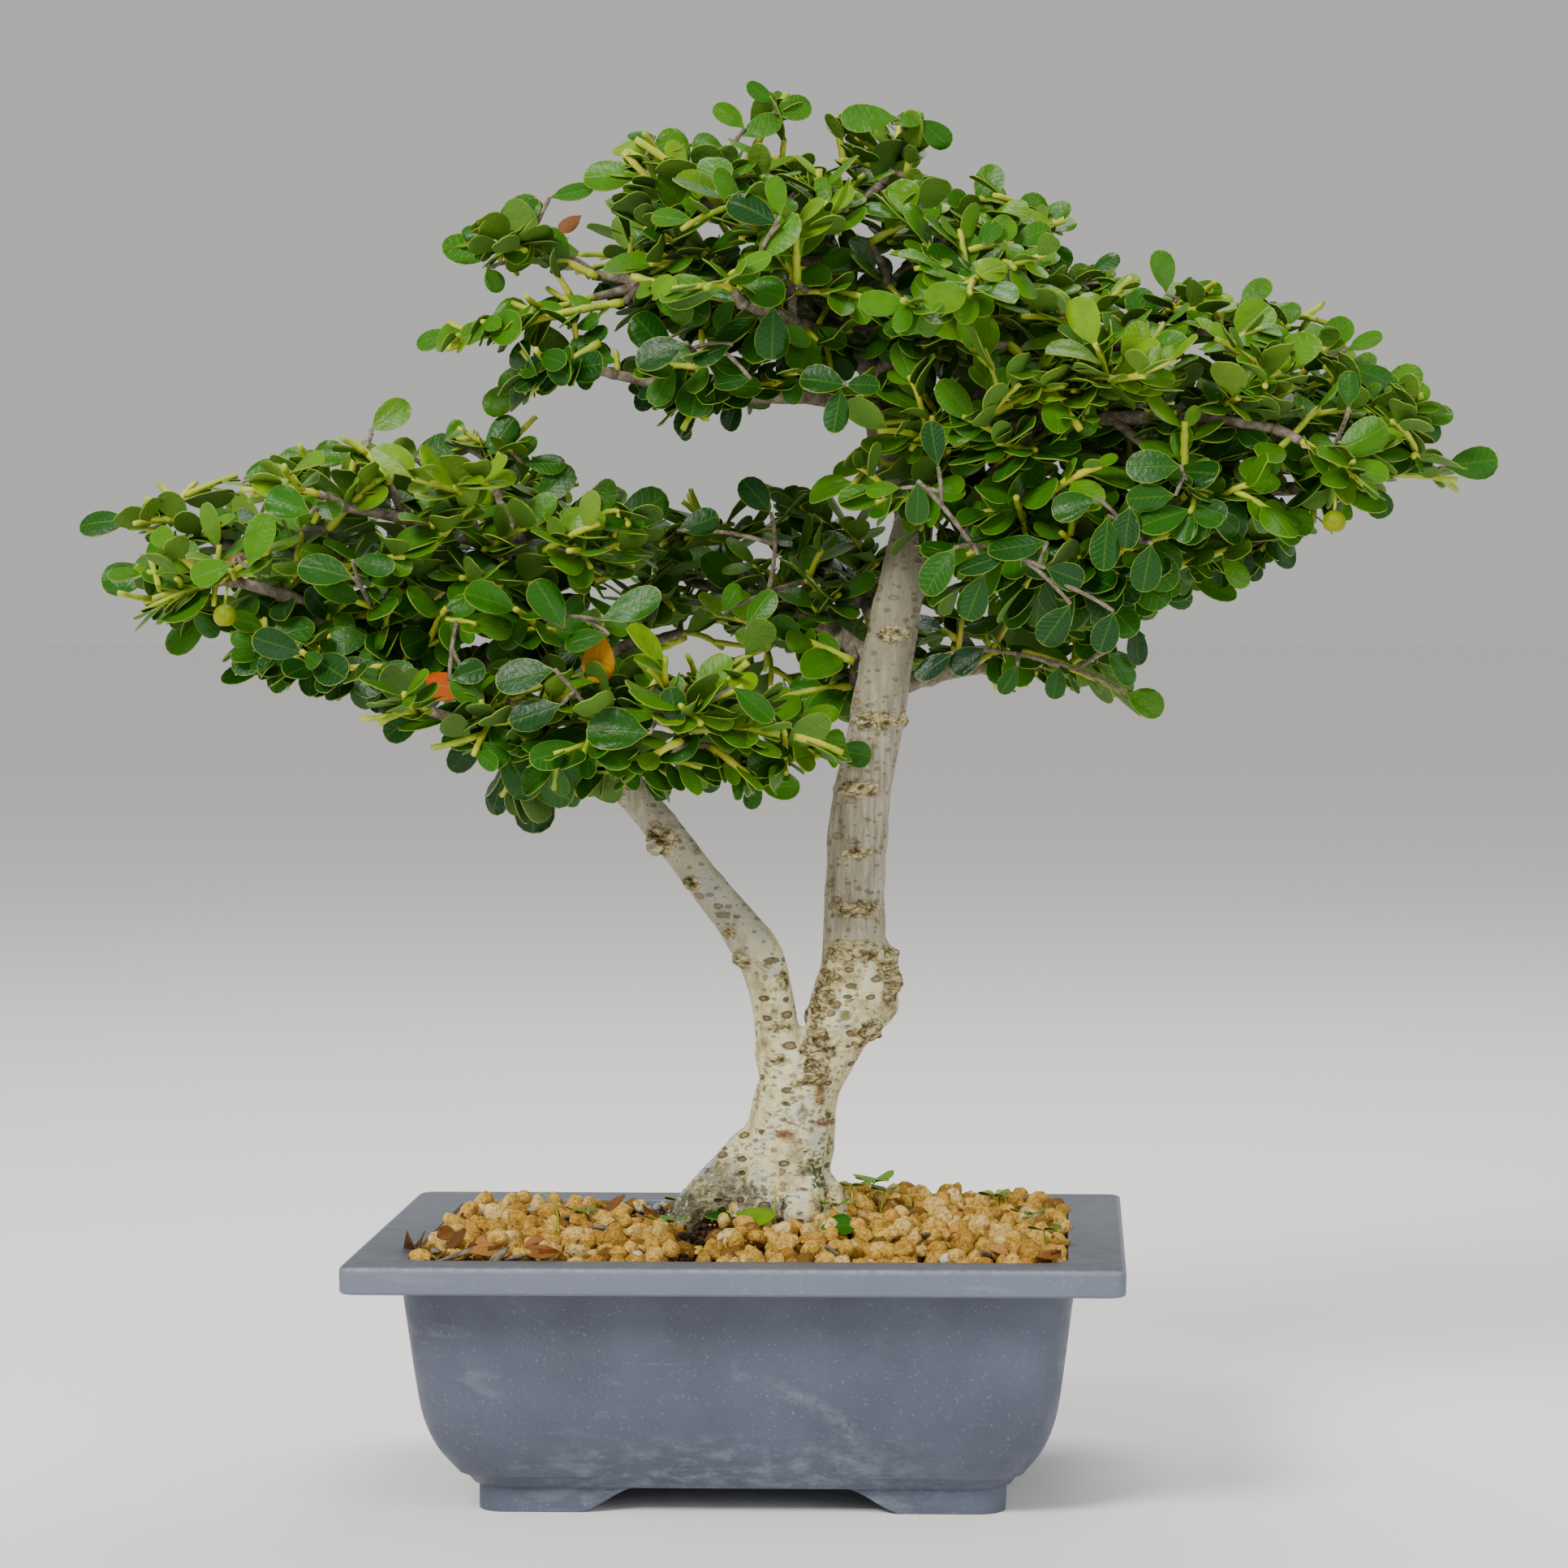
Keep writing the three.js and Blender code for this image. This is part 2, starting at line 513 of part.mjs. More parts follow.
function tube(curve, radiusAt, sides, segments, from = 0, to = 1) {
  const geometry = new THREE.CylinderGeometry(1, 1, 1, sides, segments);
  const rings = ringsAlong(curve, segments, from, to);
  const position = geometry.attributes.position;
  const point = new THREE.Vector3();
  for (let i = 0; i < position.count; i += 1) {
    const ring = rings[Math.round((position.getY(i) + 0.5) * segments)];
    const radius = radiusAt(ring.t);
    point.copy(ring.centre);
    point.addScaledVector(ring.across, position.getX(i) * radius);
    point.addScaledVector(ring.aside, position.getZ(i) * radius);
    position.setXYZ(i, point.x, point.y, point.z);
  }
  return solid(geometry);
}

function grown(line, sides, extra = 0) {
  const radius = radiusAlong(line);
  return tube(lineCurve(line), (t) => radius(t) + extra, sides, line.length - 1);
}

// A limb, whose root is drawn in so that it stays inside the wood it grows from
function limbSolid(line) {
  const radius = radiusAlong(line);
  const rooted = (t) => radius(t) * (t === 0 ? ROOT_TAPER : 1);
  const segments = Math.round((line.length - 1) * LIMB_SPAN_SHARE);
  return tube(lineCurve(line), rooted, SIDES.limb, segments);
}

// The part of the wood that stands in the soil, made larger to cut its place there
function crown(extra) {
  const roots = ROOTS.map((root) => grown(root, SIDES.root, extra));
  return joined([grown(TRUNK, SIDES.trunk, extra), ...roots]);
}

// Shoots

function mainCurve(spray) {
  const start = lineCurve(LIMBS[spray.limb]).getPoint(spray.at);
  const end = new THREE.Vector3(...spray.tips[0]);
  const control = start.clone().lerp(end, 0.5);
  control.z += spray.rise ?? DEFAULT_RISE;
  return new THREE.QuadraticBezierCurve3(start, control, end);
}

function branchlet(spray) {
  const limb = LIMBS[spray.limb];
  const startRadius = Math.min(BRANCHLET_RADIUS, radiusAlong(limb)(spray.at)) * ROOT_TAPER;
  const radius = (t) => THREE.MathUtils.lerp(startRadius, TWIG_RADIUS, t / WOOD_SHARE);
  return tube(mainCurve(spray), radius, SIDES.twig, 1, 0, WOOD_SHARE);
}

// Every green shoot of a spray: its main one, those that fork from it to a further
// tip, and short side shoots at places drawn along it
function shootsOf(spray, sprayNumber) {
  const main = mainCurve(spray);
  const start = WOOD_SHARE + GAP / main.getLength();
  const shoots = [{ curve: main, from: start, segments: 2 }];
  spray.tips.slice(1).forEach((tip) => {
    const root = onAxis(shoots[0], FORK_PLACE);
    const end = new THREE.Vector3(...tip);
    const control = root.clone().lerp(end, 0.5);
    control.addScaledVector(main.getTangent(FORK_PLACE), root.distanceTo(end) * FORK_LEAD);
    shoots.push({ curve: new THREE.QuadraticBezierCurve3(root, control, end), from: 0, segments: 2 });
  });
  const side = new THREE.Vector3();
  for (let k = 0; k < SIDE_SHOOTS; k += 1) {
    const t = THREE.MathUtils.lerp(start + 0.1, 0.85, (k + draw(sprayNumber, k, 1)) / SIDE_SHOOTS);
    const root = onAxis(shoots[0], t);
    const tangent = main.getTangent(t);
    side.crossVectors(tangent, UP).normalize().multiplyScalar((k + sprayNumber) % 2 ? 1 : -1);
    const length = THREE.MathUtils.lerp(...SIDE_SHOOT_LENGTHS, draw(sprayNumber, k, 2));
    const lift = THREE.MathUtils.lerp(...SIDE_SHOOT_LIFTS, draw(sprayNumber, k, 3));
    const way = tangent.clone().multiplyScalar(SIDE_SHOOT_AIM.forward);
    way.addScaledVector(side, SIDE_SHOOT_AIM.aside).addScaledVector(UP, lift).normalize();
    const end = root.clone().addScaledVector(way, length);
    shoots.push({ curve: new THREE.LineCurve3(root, end), from: 0, segments: 1 });
  }
  return shoots;
}

// A point on the straight runs between a shoot's rings
function onAxis(shoot, t) {
  const run = (1 - shoot.from) / shoot.segments;
  const step = Math.min(Math.floor((t - shoot.from) / run), shoot.segments - 1);
  const before = shoot.from + step * run;
  const start = shoot.curve.getPoint(before);
  return start.lerp(shoot.curve.getPoint(before + run), (t - before) / run);
}

function twig(shoot) {
  const rooted = (t) => (t === 0 ? ROOT_TAPER : 1);
  const radius = (t) => THREE.MathUtils.lerp(TWIG_RADIUS, TWIG_TIP_RADIUS, t) * rooted(t);
  return tube(shoot.curve, radius, SIDES.twig, shoot.segments, shoot.from);
}

// Leaves

// Places for leaves along a shoot, from its tip down, alternating to its sides,
// their faces turned up and away from the middle of the tree
function leafPlaces(shoot, sprayNumber, shootNumber, size) {
  const length = shoot.curve.getLength();
  const outward = shoot.curve.getPoint(1).sub(shoot.curve.getPoint(0)).setZ(0).normalize();
  const count = Math.floor((length * (1 - shoot.from) - LEAF_TIP_MARGIN * 2) / LEAF_PITCH);
  const places = [];
  for (let k = 0; k < count; k += 1) {
    const t = 1 - (LEAF_TIP_MARGIN + k * LEAF_PITCH) / length;
    const tangent = shoot.curve.getTangent(t);
    const turn = k * LEAF_AIM.turn + draw(sprayNumber, shootNumber, k) * LEAF_AIM.stray;
    const side = new THREE.Vector3().crossVectors(tangent, UP).normalize();
    const along = tangent.clone().multiplyScalar(LEAF_AIM.forward);
    along.addScaledVector(side, Math.cos(turn) * LEAF_AIM.aside);
    along.addScaledVector(UP, Math.sin(turn) * LEAF_AIM.swing + LEAF_AIM.lift).normalize();
    const face = UP.clone().multiplyScalar(LEAF_FACE.up);
    face.addScaledVector(outward, LEAF_FACE.outward);
    face.addScaledVector(side, draw(sprayNumber, shootNumber, k, 5) - 0.5);
    face.addScaledVector(along, -face.dot(along)).normalize();
    const stretch = THREE.MathUtils.lerp(...LEAF_SCALES, draw(sprayNumber, shootNumber, k, 7));
    places.push({ base: onAxis(shoot, t), along, face, scale: size * stretch, rank: k });
  }
  return places;
}

function leafHalfWidth(s) {
  return Math.max(Math.sin(Math.PI * s ** 1.5), 0) ** 0.7;
}

// One leaf, egg-shaped with its broad end out. The rim is a ball's equator, the
// ball's lower pole is the midrib, and its upper pole is folded into the rim.
function leaf(spot, margin = 0) {
  const geometry = new THREE.SphereGeometry(1, LEAF_SIDES, 2);
  const position = geometry.attributes.position;
  const side = new THREE.Vector3().crossVectors(spot.along, spot.face);
  const length = LEAF_LENGTH * spot.scale + margin;
  const halfWidth = LEAF_WIDTH * spot.scale * 0.5 + margin;
  const fold = Math.PI * (2 / LEAF_SIDES);
  const point = new THREE.Vector3();
  for (let i = 0; i < position.count; i += 1) {
    const upper = position.getY(i) > 0.5;
    const lower = position.getY(i) < -0.5;
    const x = upper ? -Math.cos(fold) : position.getX(i);
    const z = upper ? Math.sin(fold) : position.getZ(i);
    const s = lower ? MIDRIB_PLACE : ((1 + x) / 2) ** 0.85;
    const width = lower ? 0 : leafHalfWidth(s) * Math.sign(z);
    point.copy(spot.base);
    point.addScaledVector(spot.along, s * length);
    point.addScaledVector(side, width * halfWidth);
    point.addScaledVector(spot.face, lower ? -LEAF_THICKNESS - margin : margin);
    position.setXYZ(i, point.x, point.y, point.z);
  }
  return solid(geometry);
}

function berry(spray) {
  const geometry = new THREE.SphereGeometry(BERRY_RADIUS, 7, 5);
  const stalk = mainCurve(spray).getPoint(spray.berryAt);
  geometry.translate(stalk.x, stalk.y, stalk.z - BERRY_RADIUS * BERRY_HANG);
  return solid(geometry);
}

function boxesMeet(a, b) {
  return [0, 1, 2].every((i) => a.min[i] <= b.max[i] && b.min[i] <= a.max[i]);
}

// Solids already placed, each with its node's name, so that a leaf that would
// cross another node can be left off
const placed = [];

function settle(shape, node) {
  const entry = { shape, node, box: shape.boundingBox() };
  placed.push(entry);
  return entry;
}

function crosses(shape, others) {
  const box = shape.boundingBox();
  return others.some((other) => (
    boxesMeet(box, other.box) && !shape.intersect(other.shape).isEmpty()
  ));
}

// Soil, its top broken into grains

function surfaceHeight(x, y) {
  return MOUNDS.reduce((height, mound) => {
    const apart = Math.hypot(x - mound.x, y - mound.y) / mound.radius;
    return height + mound.rise * Math.exp(-(apart ** 2));
  }, SOIL_EDGE_HEIGHT);
}

function soilSolid() {
  const width = RIM_HALF_WIDTH * 2;
  const depth = RIM_HALF_DEPTH * 2;
  const columns = Math.round(width / GRAIN_PITCH);
  const rows = Math.round(depth / GRAIN_PITCH);
  const block = new THREE.BoxGeometry(width, depth, POT_HEIGHT, columns, rows, 1);
  const position = block.attributes.position;
  for (let i = 0; i < position.count; i += 1) {
    const x = position.getX(i);
    const y = position.getY(i);
    if (position.getZ(i) > 0) {
      const column = Math.round((x / width + 0.5) * columns);
      const row = Math.round((y / depth + 0.5) * rows);
      const crest = ((column % 2) + (row % 2)) / 2;
      const stretch = THREE.MathUtils.lerp(...GRAIN_RISES, draw(column, row, 3));
      const grain = GRAIN_RISE * crest ** GRAIN_SHARPNESS * stretch;
      position.setXYZ(
        i,
        x + (draw(column, row, 1) * 2 - 1) * GRAIN_JITTER,
        y + (draw(column, row, 2) * 2 - 1) * GRAIN_JITTER,
        surfaceHeight(x, y) + grain - GRAIN_RISE / 3,
      );
    } else {
      position.setZ(i, 0);
    }
  }
  return solid(block).intersect(cavity(GAP, POT_HEIGHT * 1.5)).subtract(crown(GAP));
}

// Materials

const potPlastic = new THREE.MeshStandardMaterial({ color: '#4d535f', roughness: 0.5, metalness: 0 });
const akadama = new THREE.MeshStandardMaterial({ color: '#b98a4a', roughness: 0.95, metalness: 0 });
const bark = new THREE.MeshStandardMaterial({ color: '#9a9384', roughness: 0.85, metalness: 0 });
const foliage = {
  [YOUNG]: new THREE.MeshStandardMaterial({ color: '#6f9a20', roughness: 0.5, metalness: 0 }),
  [MATURE]: new THREE.MeshStandardMaterial({ color: '#24551f', roughness: 0.4, metalness: 0 }),
};

// The tree

function woodSolid() {
  const limbs = Object.values(LIMBS).map(limbSolid);
  const branchlets = Object.values(SPRAYS).map(branchlet);
  return joined([
    crown(0),
    grown(LEFT_STEM, SIDES.leftStem),
    grown(RIGHT_STEM, SIDES.rightStem),
    ...limbs,
    ...branchlets,
  ]);
}

const wood = woodSolid();
const tree = new THREE.Group();
tree.add(piece('pot', potSolid(), potPlastic));
tree.add(piece('soil', soilSolid(), akadama));
tree.add(piece('wood', wood, bark));
settle(wood, 'wood');

const sprays = Object.entries(SPRAYS).map(([name, spray], sprayNumber) => {
  const shoots = shootsOf(spray, sprayNumber).filter((shoot, k) => {
    const shape = twig(shoot);
    const others = placed.filter((other) => other.node !== name);
    const kept = k < spray.tips.length || !crosses(shape, others);
    if (kept) settle(shape, name);
    return kept;
  });
  return { name, spray, sprayNumber, shoots };
});

sprays.forEach(({ name, spray, sprayNumber, shoots }) => {
  const others = placed.filter((other) => other.node !== name);
  const parts = placed.filter((other) => other.node === name).map((other) => other.shape);
  const leaves = [];
  const places = shoots.flatMap((shoot, k) => leafPlaces(shoot, sprayNumber, k, spray.size ?? 1));
  places.sort((a, b) => (a.rank % 3) - (b.rank % 3) || a.rank - b.rank);
  let wanted = LEAVES_PER_TIP * (1 + spray.tips.length) / 2;
  places.forEach((spot) => {
    const shape = leaf(spot);
    if (wanted > 0 && !crosses(shape, leaves) && !crosses(leaf(spot, GAP), others)) {
      leaves.push(settle(shape, name));
      wanted -= 1;
    }
  });
  parts.push(...leaves.map((other) => other.shape));
  if (spray.berryAt) parts.push(berry(spray));
  tree.add(piece(name, joined(parts), foliage[spray.tone]));
});

tree.position.set(-OUTLINE_MIDDLE.x, -OUTLINE_MIDDLE.y, 0);

export default tree;
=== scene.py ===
# The looks of a wall cotoneaster grown as a bonsai in a training pot. Lengths are
# millimetres from the middle of the plane that the pot's feet stand on, with the
# front of the tree towards -Y, and a finished piece is moved into the frame.

import math

import bmesh
import bpy
from mathutils import Matrix, Vector, noise


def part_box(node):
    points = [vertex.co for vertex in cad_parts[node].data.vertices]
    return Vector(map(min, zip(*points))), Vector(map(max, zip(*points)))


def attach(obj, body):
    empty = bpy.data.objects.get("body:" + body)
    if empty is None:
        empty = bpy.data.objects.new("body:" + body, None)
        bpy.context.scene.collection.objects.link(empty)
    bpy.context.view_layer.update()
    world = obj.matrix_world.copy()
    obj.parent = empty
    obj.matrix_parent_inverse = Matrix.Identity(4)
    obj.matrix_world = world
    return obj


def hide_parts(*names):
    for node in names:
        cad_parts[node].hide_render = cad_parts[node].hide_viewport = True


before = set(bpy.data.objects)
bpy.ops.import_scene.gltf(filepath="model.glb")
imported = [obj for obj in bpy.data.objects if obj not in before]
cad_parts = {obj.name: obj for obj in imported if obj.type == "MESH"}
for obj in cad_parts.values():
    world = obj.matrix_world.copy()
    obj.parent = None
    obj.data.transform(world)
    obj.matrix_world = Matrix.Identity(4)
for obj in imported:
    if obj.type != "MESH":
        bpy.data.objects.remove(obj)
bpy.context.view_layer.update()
scene = bpy.context.scene

MM = 0.001
POT_LOW, POT_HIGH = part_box("pot")
POT_MIDDLE = Vector(((POT_LOW.x + POT_HIGH.x) / 2, (POT_LOW.y + POT_HIGH.y) / 2, POT_LOW.z))
TO_FRAME = Matrix.Translation(POT_MIDDLE) @ Matrix.Scale(MM, 4)
UP = Vector((0, 0, 1))

# Driving dimensions of the pot
RIM_HALF_WIDTH = (POT_HIGH.x - POT_LOW.x) / 2 / MM
RIM_HALF_DEPTH = (POT_HIGH.y - POT_LOW.y) / 2 / MM
POT_HEIGHT = (POT_HIGH.z - POT_LOW.z) / MM
LIP_HEIGHT = 8.7
LIP_FOOT = POT_HEIGHT - LIP_HEIGHT
LIP_CORNER = 4
MOUTH_INSET = 17.9
BODY_CORNER = 12
MOUTH_CORNER = 10
CORNER_STEPS = 8
FOOT_HEIGHT = 8
FOOT_INSET = 37.3
FOOT_WALL = 7
FOOT_CORNER = 9
FLOOR_THICKNESS = 3
DRAIN_RADIUS = 6
DRAIN_SPACING = 96
BAND_TOP = 12
LONG_ARCH = (32, 51.5)
SHORT_ARCH = (10, 24)

# How far the body's wall stands in from the rim's edge, (height, inset)
BODY_PROFILE = [(12.2, 31.4), (21, 25.3), (31, 21.5), (42, 19.6), (55, 17.9), (75, 15.4)]
WALL_STEPS = 20
SHARPEST_ROUND = 32

# A pale scuff on the pot's front: how steeply it falls, where that times x plus z is, how
# far it wavers, its middle and half its length along X
SCUFF_FALL = 0.63
SCUFF_LINE = 51
SCUFF_WAVER = 12
SCUFF_MIDDLE = 25.5
SCUFF_REACH = 16

# Driving dimensions of the soil
SOIL_EDGE_HEIGHT = 79.5
BED_FLOOR = 26
BED_TAPER = 0.88
BED_DROP = 2.6
BED_GAP = 0.4
GRANULES_STAND = 1.6
MOUNDS = [(12, 0, 8, 40), (52, 22, 5, 49)]
HUMUS_PATCHES = [
    (-34, 44, 34, 24), (-22, 12, 18, 20), (6, -14, 16, 9), (-84, -62, 20, 9), (-15, -38, 10, 30),
]
GRANULE_PITCH = 6.1
UPPER_PITCH = GRANULE_PITCH * 1.55
CRUMB_PITCH = 3.6
ROW_PITCH = 0.87
SITE_STRAY = 0.8
GRANULE_SIZES = (2.4, 5.0)
UPPER_SIZES = (2.6, 4.6)
CRUMB_SIZES = (0.6, 1.6)
FLAT_SIDES = 6
BED_CELLS = (90, 62)
COARSE_FORMS = 7
FINE_FORMS = 5

# Driving dimensions of the leaves and shoots
LEAF_LENGTH = 15.8
LEAF_WIDTH = 11.2
LEAF_THICKNESS = 0.35
LEAF_MIDDLE = 0.6
LEAF_SHOULDER = 0.36
LEAF_KINDS = 11
LEAF_SIZES = (0.62, 1.08)
SPUR_LEAF_SIZES = (0.62, 1.0)
STALK_SHARE = 0.13
LEAF_PITCH = 4.6
LEAF_SPIRAL = 2.4
TUFT_TURN = 2.1
LARGEST_TUFT = 2.4
TUFT_LEAF = 0.74
SPUR_PITCH = 10
SIDE_SHOOT_PITCH = 9
SIDE_SHOOT_LENGTHS = (11, 24)
FORK_AT = 0.5
TWIG_RADIUS = 1.2
TWIG_TIP_RADIUS = 1.0
STOUT = 1.2
CARRYING = 1.15
SLIM = 0.7
BERRY_RADIUS = 3.6
BERRY_STALK_RADIUS = 0.5


# Draws and curves

def draw(*keys):
    """A repeatable draw between 0 and 1 for a few numbers."""
    total = sum((key + 1.7) * (12.9898 + 65.134 * place) for place, key in enumerate(keys))
    return (math.sin(total) * 43758.5453) % 1


def between(low, high, share):
    return low + (high - low) * share


def stray_way(keys, first):
    """A repeatable way in any direction."""
    return Vector(draw(*keys, first + axis) - 0.5 for axis in range(3))


def smooth(low, high, value):
    """0 at low, 1 at high, whichever is the larger, and an even curve between them."""
    share = max(0.0, min(1.0, (value - low) / (high - low)))
    return share * share * (3 - 2 * share)


def on_line(line, share):
    """The place and radius at a share of a smooth curve through (x, y, z, radius) points."""
    spans = len(line) - 1
    reach = min(max(share, 0) * spans, spans - 1e-9)
    first = int(reach)
    u = reach - first
    here, there = Vector(line[first]), Vector(line[first + 1])
    before = Vector(line[first - 1]) if first else here * 2 - there
    after = Vector(line[first + 2]) if first + 2 <= spans else there * 2 - here
    leave, arrive = (there - before) / 2, (after - here) / 2
    return (
        here * (2 * u**3 - 3 * u**2 + 1) + leave * (u**3 - 2 * u**2 + u)
        + there * (3 * u**2 - 2 * u**3) + arrive * (u**3 - u**2)
    )


def spots_on(line, steps):
    """Evenly spaced places on a line."""
    return [Vector(on_line(line, k / steps)[:3]) for k in range(steps + 1)]


def arc_point(arc, share):
    """A point of an arc given by its start, control point and end."""
    start, control, end = arc
    rest = 1 - share
    return start * rest**2 + control * (2 * rest * share) + end * share**2


def arc_way(arc, share):
    start, control, end = arc
    return ((control - start) * (1 - share) + (end - control) * share).normalized()


def arc_length(arc):
    steps = [arc_point(arc, k / 8) for k in range(9)]
    return sum((b - a).length for a, b in zip(steps, steps[1:]))


def flat_way(angle, rise=0.0):
    """A way along the ground, turned from +X and tilted up by a rise."""
    return Vector((math.cos(angle), math.sin(angle), rise))


# Making pieces

def placed(name, data):
    """A new object in the scene."""
    made = bpy.data.objects.new(name, data)
    scene.collection.objects.link(made)
    return made


def as_mesh(name, shape):
    """The mesh of a bmesh, which is given up."""
    mesh = bpy.data.meshes.new(name)
    shape.to_mesh(mesh)
    shape.free()
    return mesh


def piece(name, shape, materials, stands_for=()):
    """A finished piece from a bmesh in millimetres, riding on the tree's one body."""
    shape.transform(TO_FRAME)
    made = placed(name, as_mesh(name, shape))
    for material in materials:
        made.data.materials.append(material)
    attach(made, "root")
    if stands_for:
        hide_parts(*stands_for)
    return made


def passing(shape):
    """A passing object from a bmesh, for modifiers."""
    return placed("passing", as_mesh("passing", shape))


def evaluated(thing):
    """The shape of an object with its modifiers applied. The object is given up."""
    bpy.context.view_layer.update()
    shown = thing.evaluated_get(bpy.context.evaluated_depsgraph_get())
    mesh = bpy.data.meshes.new_from_object(shown)
    bpy.data.objects.remove(thing)
    shape = bmesh.new()
    shape.from_mesh(mesh)
    bpy.data.meshes.remove(mesh)
    return shape


def combined(base, others, operation):
    """The shape of a bmesh joined with, or cut by, others."""
    made = passing(base)
    tools = [passing(other) for other in others]
    for tool in tools:
        step = made.modifiers.new("combine", "BOOLEAN")
        step.operation = operation
        step.solver = "EXACT"
        step.object = tool
    shape = evaluated(made)
    for tool in tools:
        bpy.data.objects.remove(tool)
    return shape


def smoothed(shape):
    for face in shape.faces:
        face.smooth = True
    return shape


def extruded(shape, parts, kind, keep=True):
    """The new parts of a kind that come from drawing out some parts of a shape."""
    grown = bmesh.ops.extrude_face_region(shape, geom=parts, use_keep_orig=keep)["geom"]
    return [part for part in grown if isinstance(part, kind)]


def rods(lines, sides=6):
    """Round rods with flat closed ends along lines of (x, y, z, radius) points."""
    curve = bpy.data.curves.new("rods", "CURVE")
    curve.dimensions = "3D"
    curve.bevel_depth = 1
    curve.bevel_resolution = sides // 2 - 2
    curve.use_fill_caps = True
    for line in lines:
        spline = curve.splines.new("POLY")
        spline.points.add(len(line) - 1)
        for knot, (x, y, z, radius) in zip(spline.points, line):
            knot.co = (x, y, z, 1)
            knot.radius = radius
        spline.use_smooth = True
    shape = evaluated(placed("rods", curve))
    bpy.data.curves.remove(curve)
    bmesh.ops.remove_doubles(shape, verts=shape.verts, dist=1e-3)
    for face in shape.faces:
        face.smooth = len(face.verts) <= 4
    return shape


def scattered(copies):
    """Many copies in one shape, each (template mesh, matrix, tone of its faces)."""
    shape = bmesh.new()
    for template, matrix, tone in copies:
        copy = template.copy()
        copy.transform(matrix)
        held = copy.attributes["tone"].data
        held.foreach_set("value", [tone] * len(held))
        shape.from_mesh(copy)
        bpy.data.meshes.remove(copy)
    return shape


# Materials

def paint(code):
    """A colour written as six hexadecimal digits, as the shader's linear numbers."""
    def linear(part):
        value = int(part, 16) / 255
        return value / 12.92 if value <= 0.04045 else ((value + 0.055) / 1.055) ** 2.4
    return [linear(code[k:k + 2]) for k in (0, 2, 4)] + [1.0]


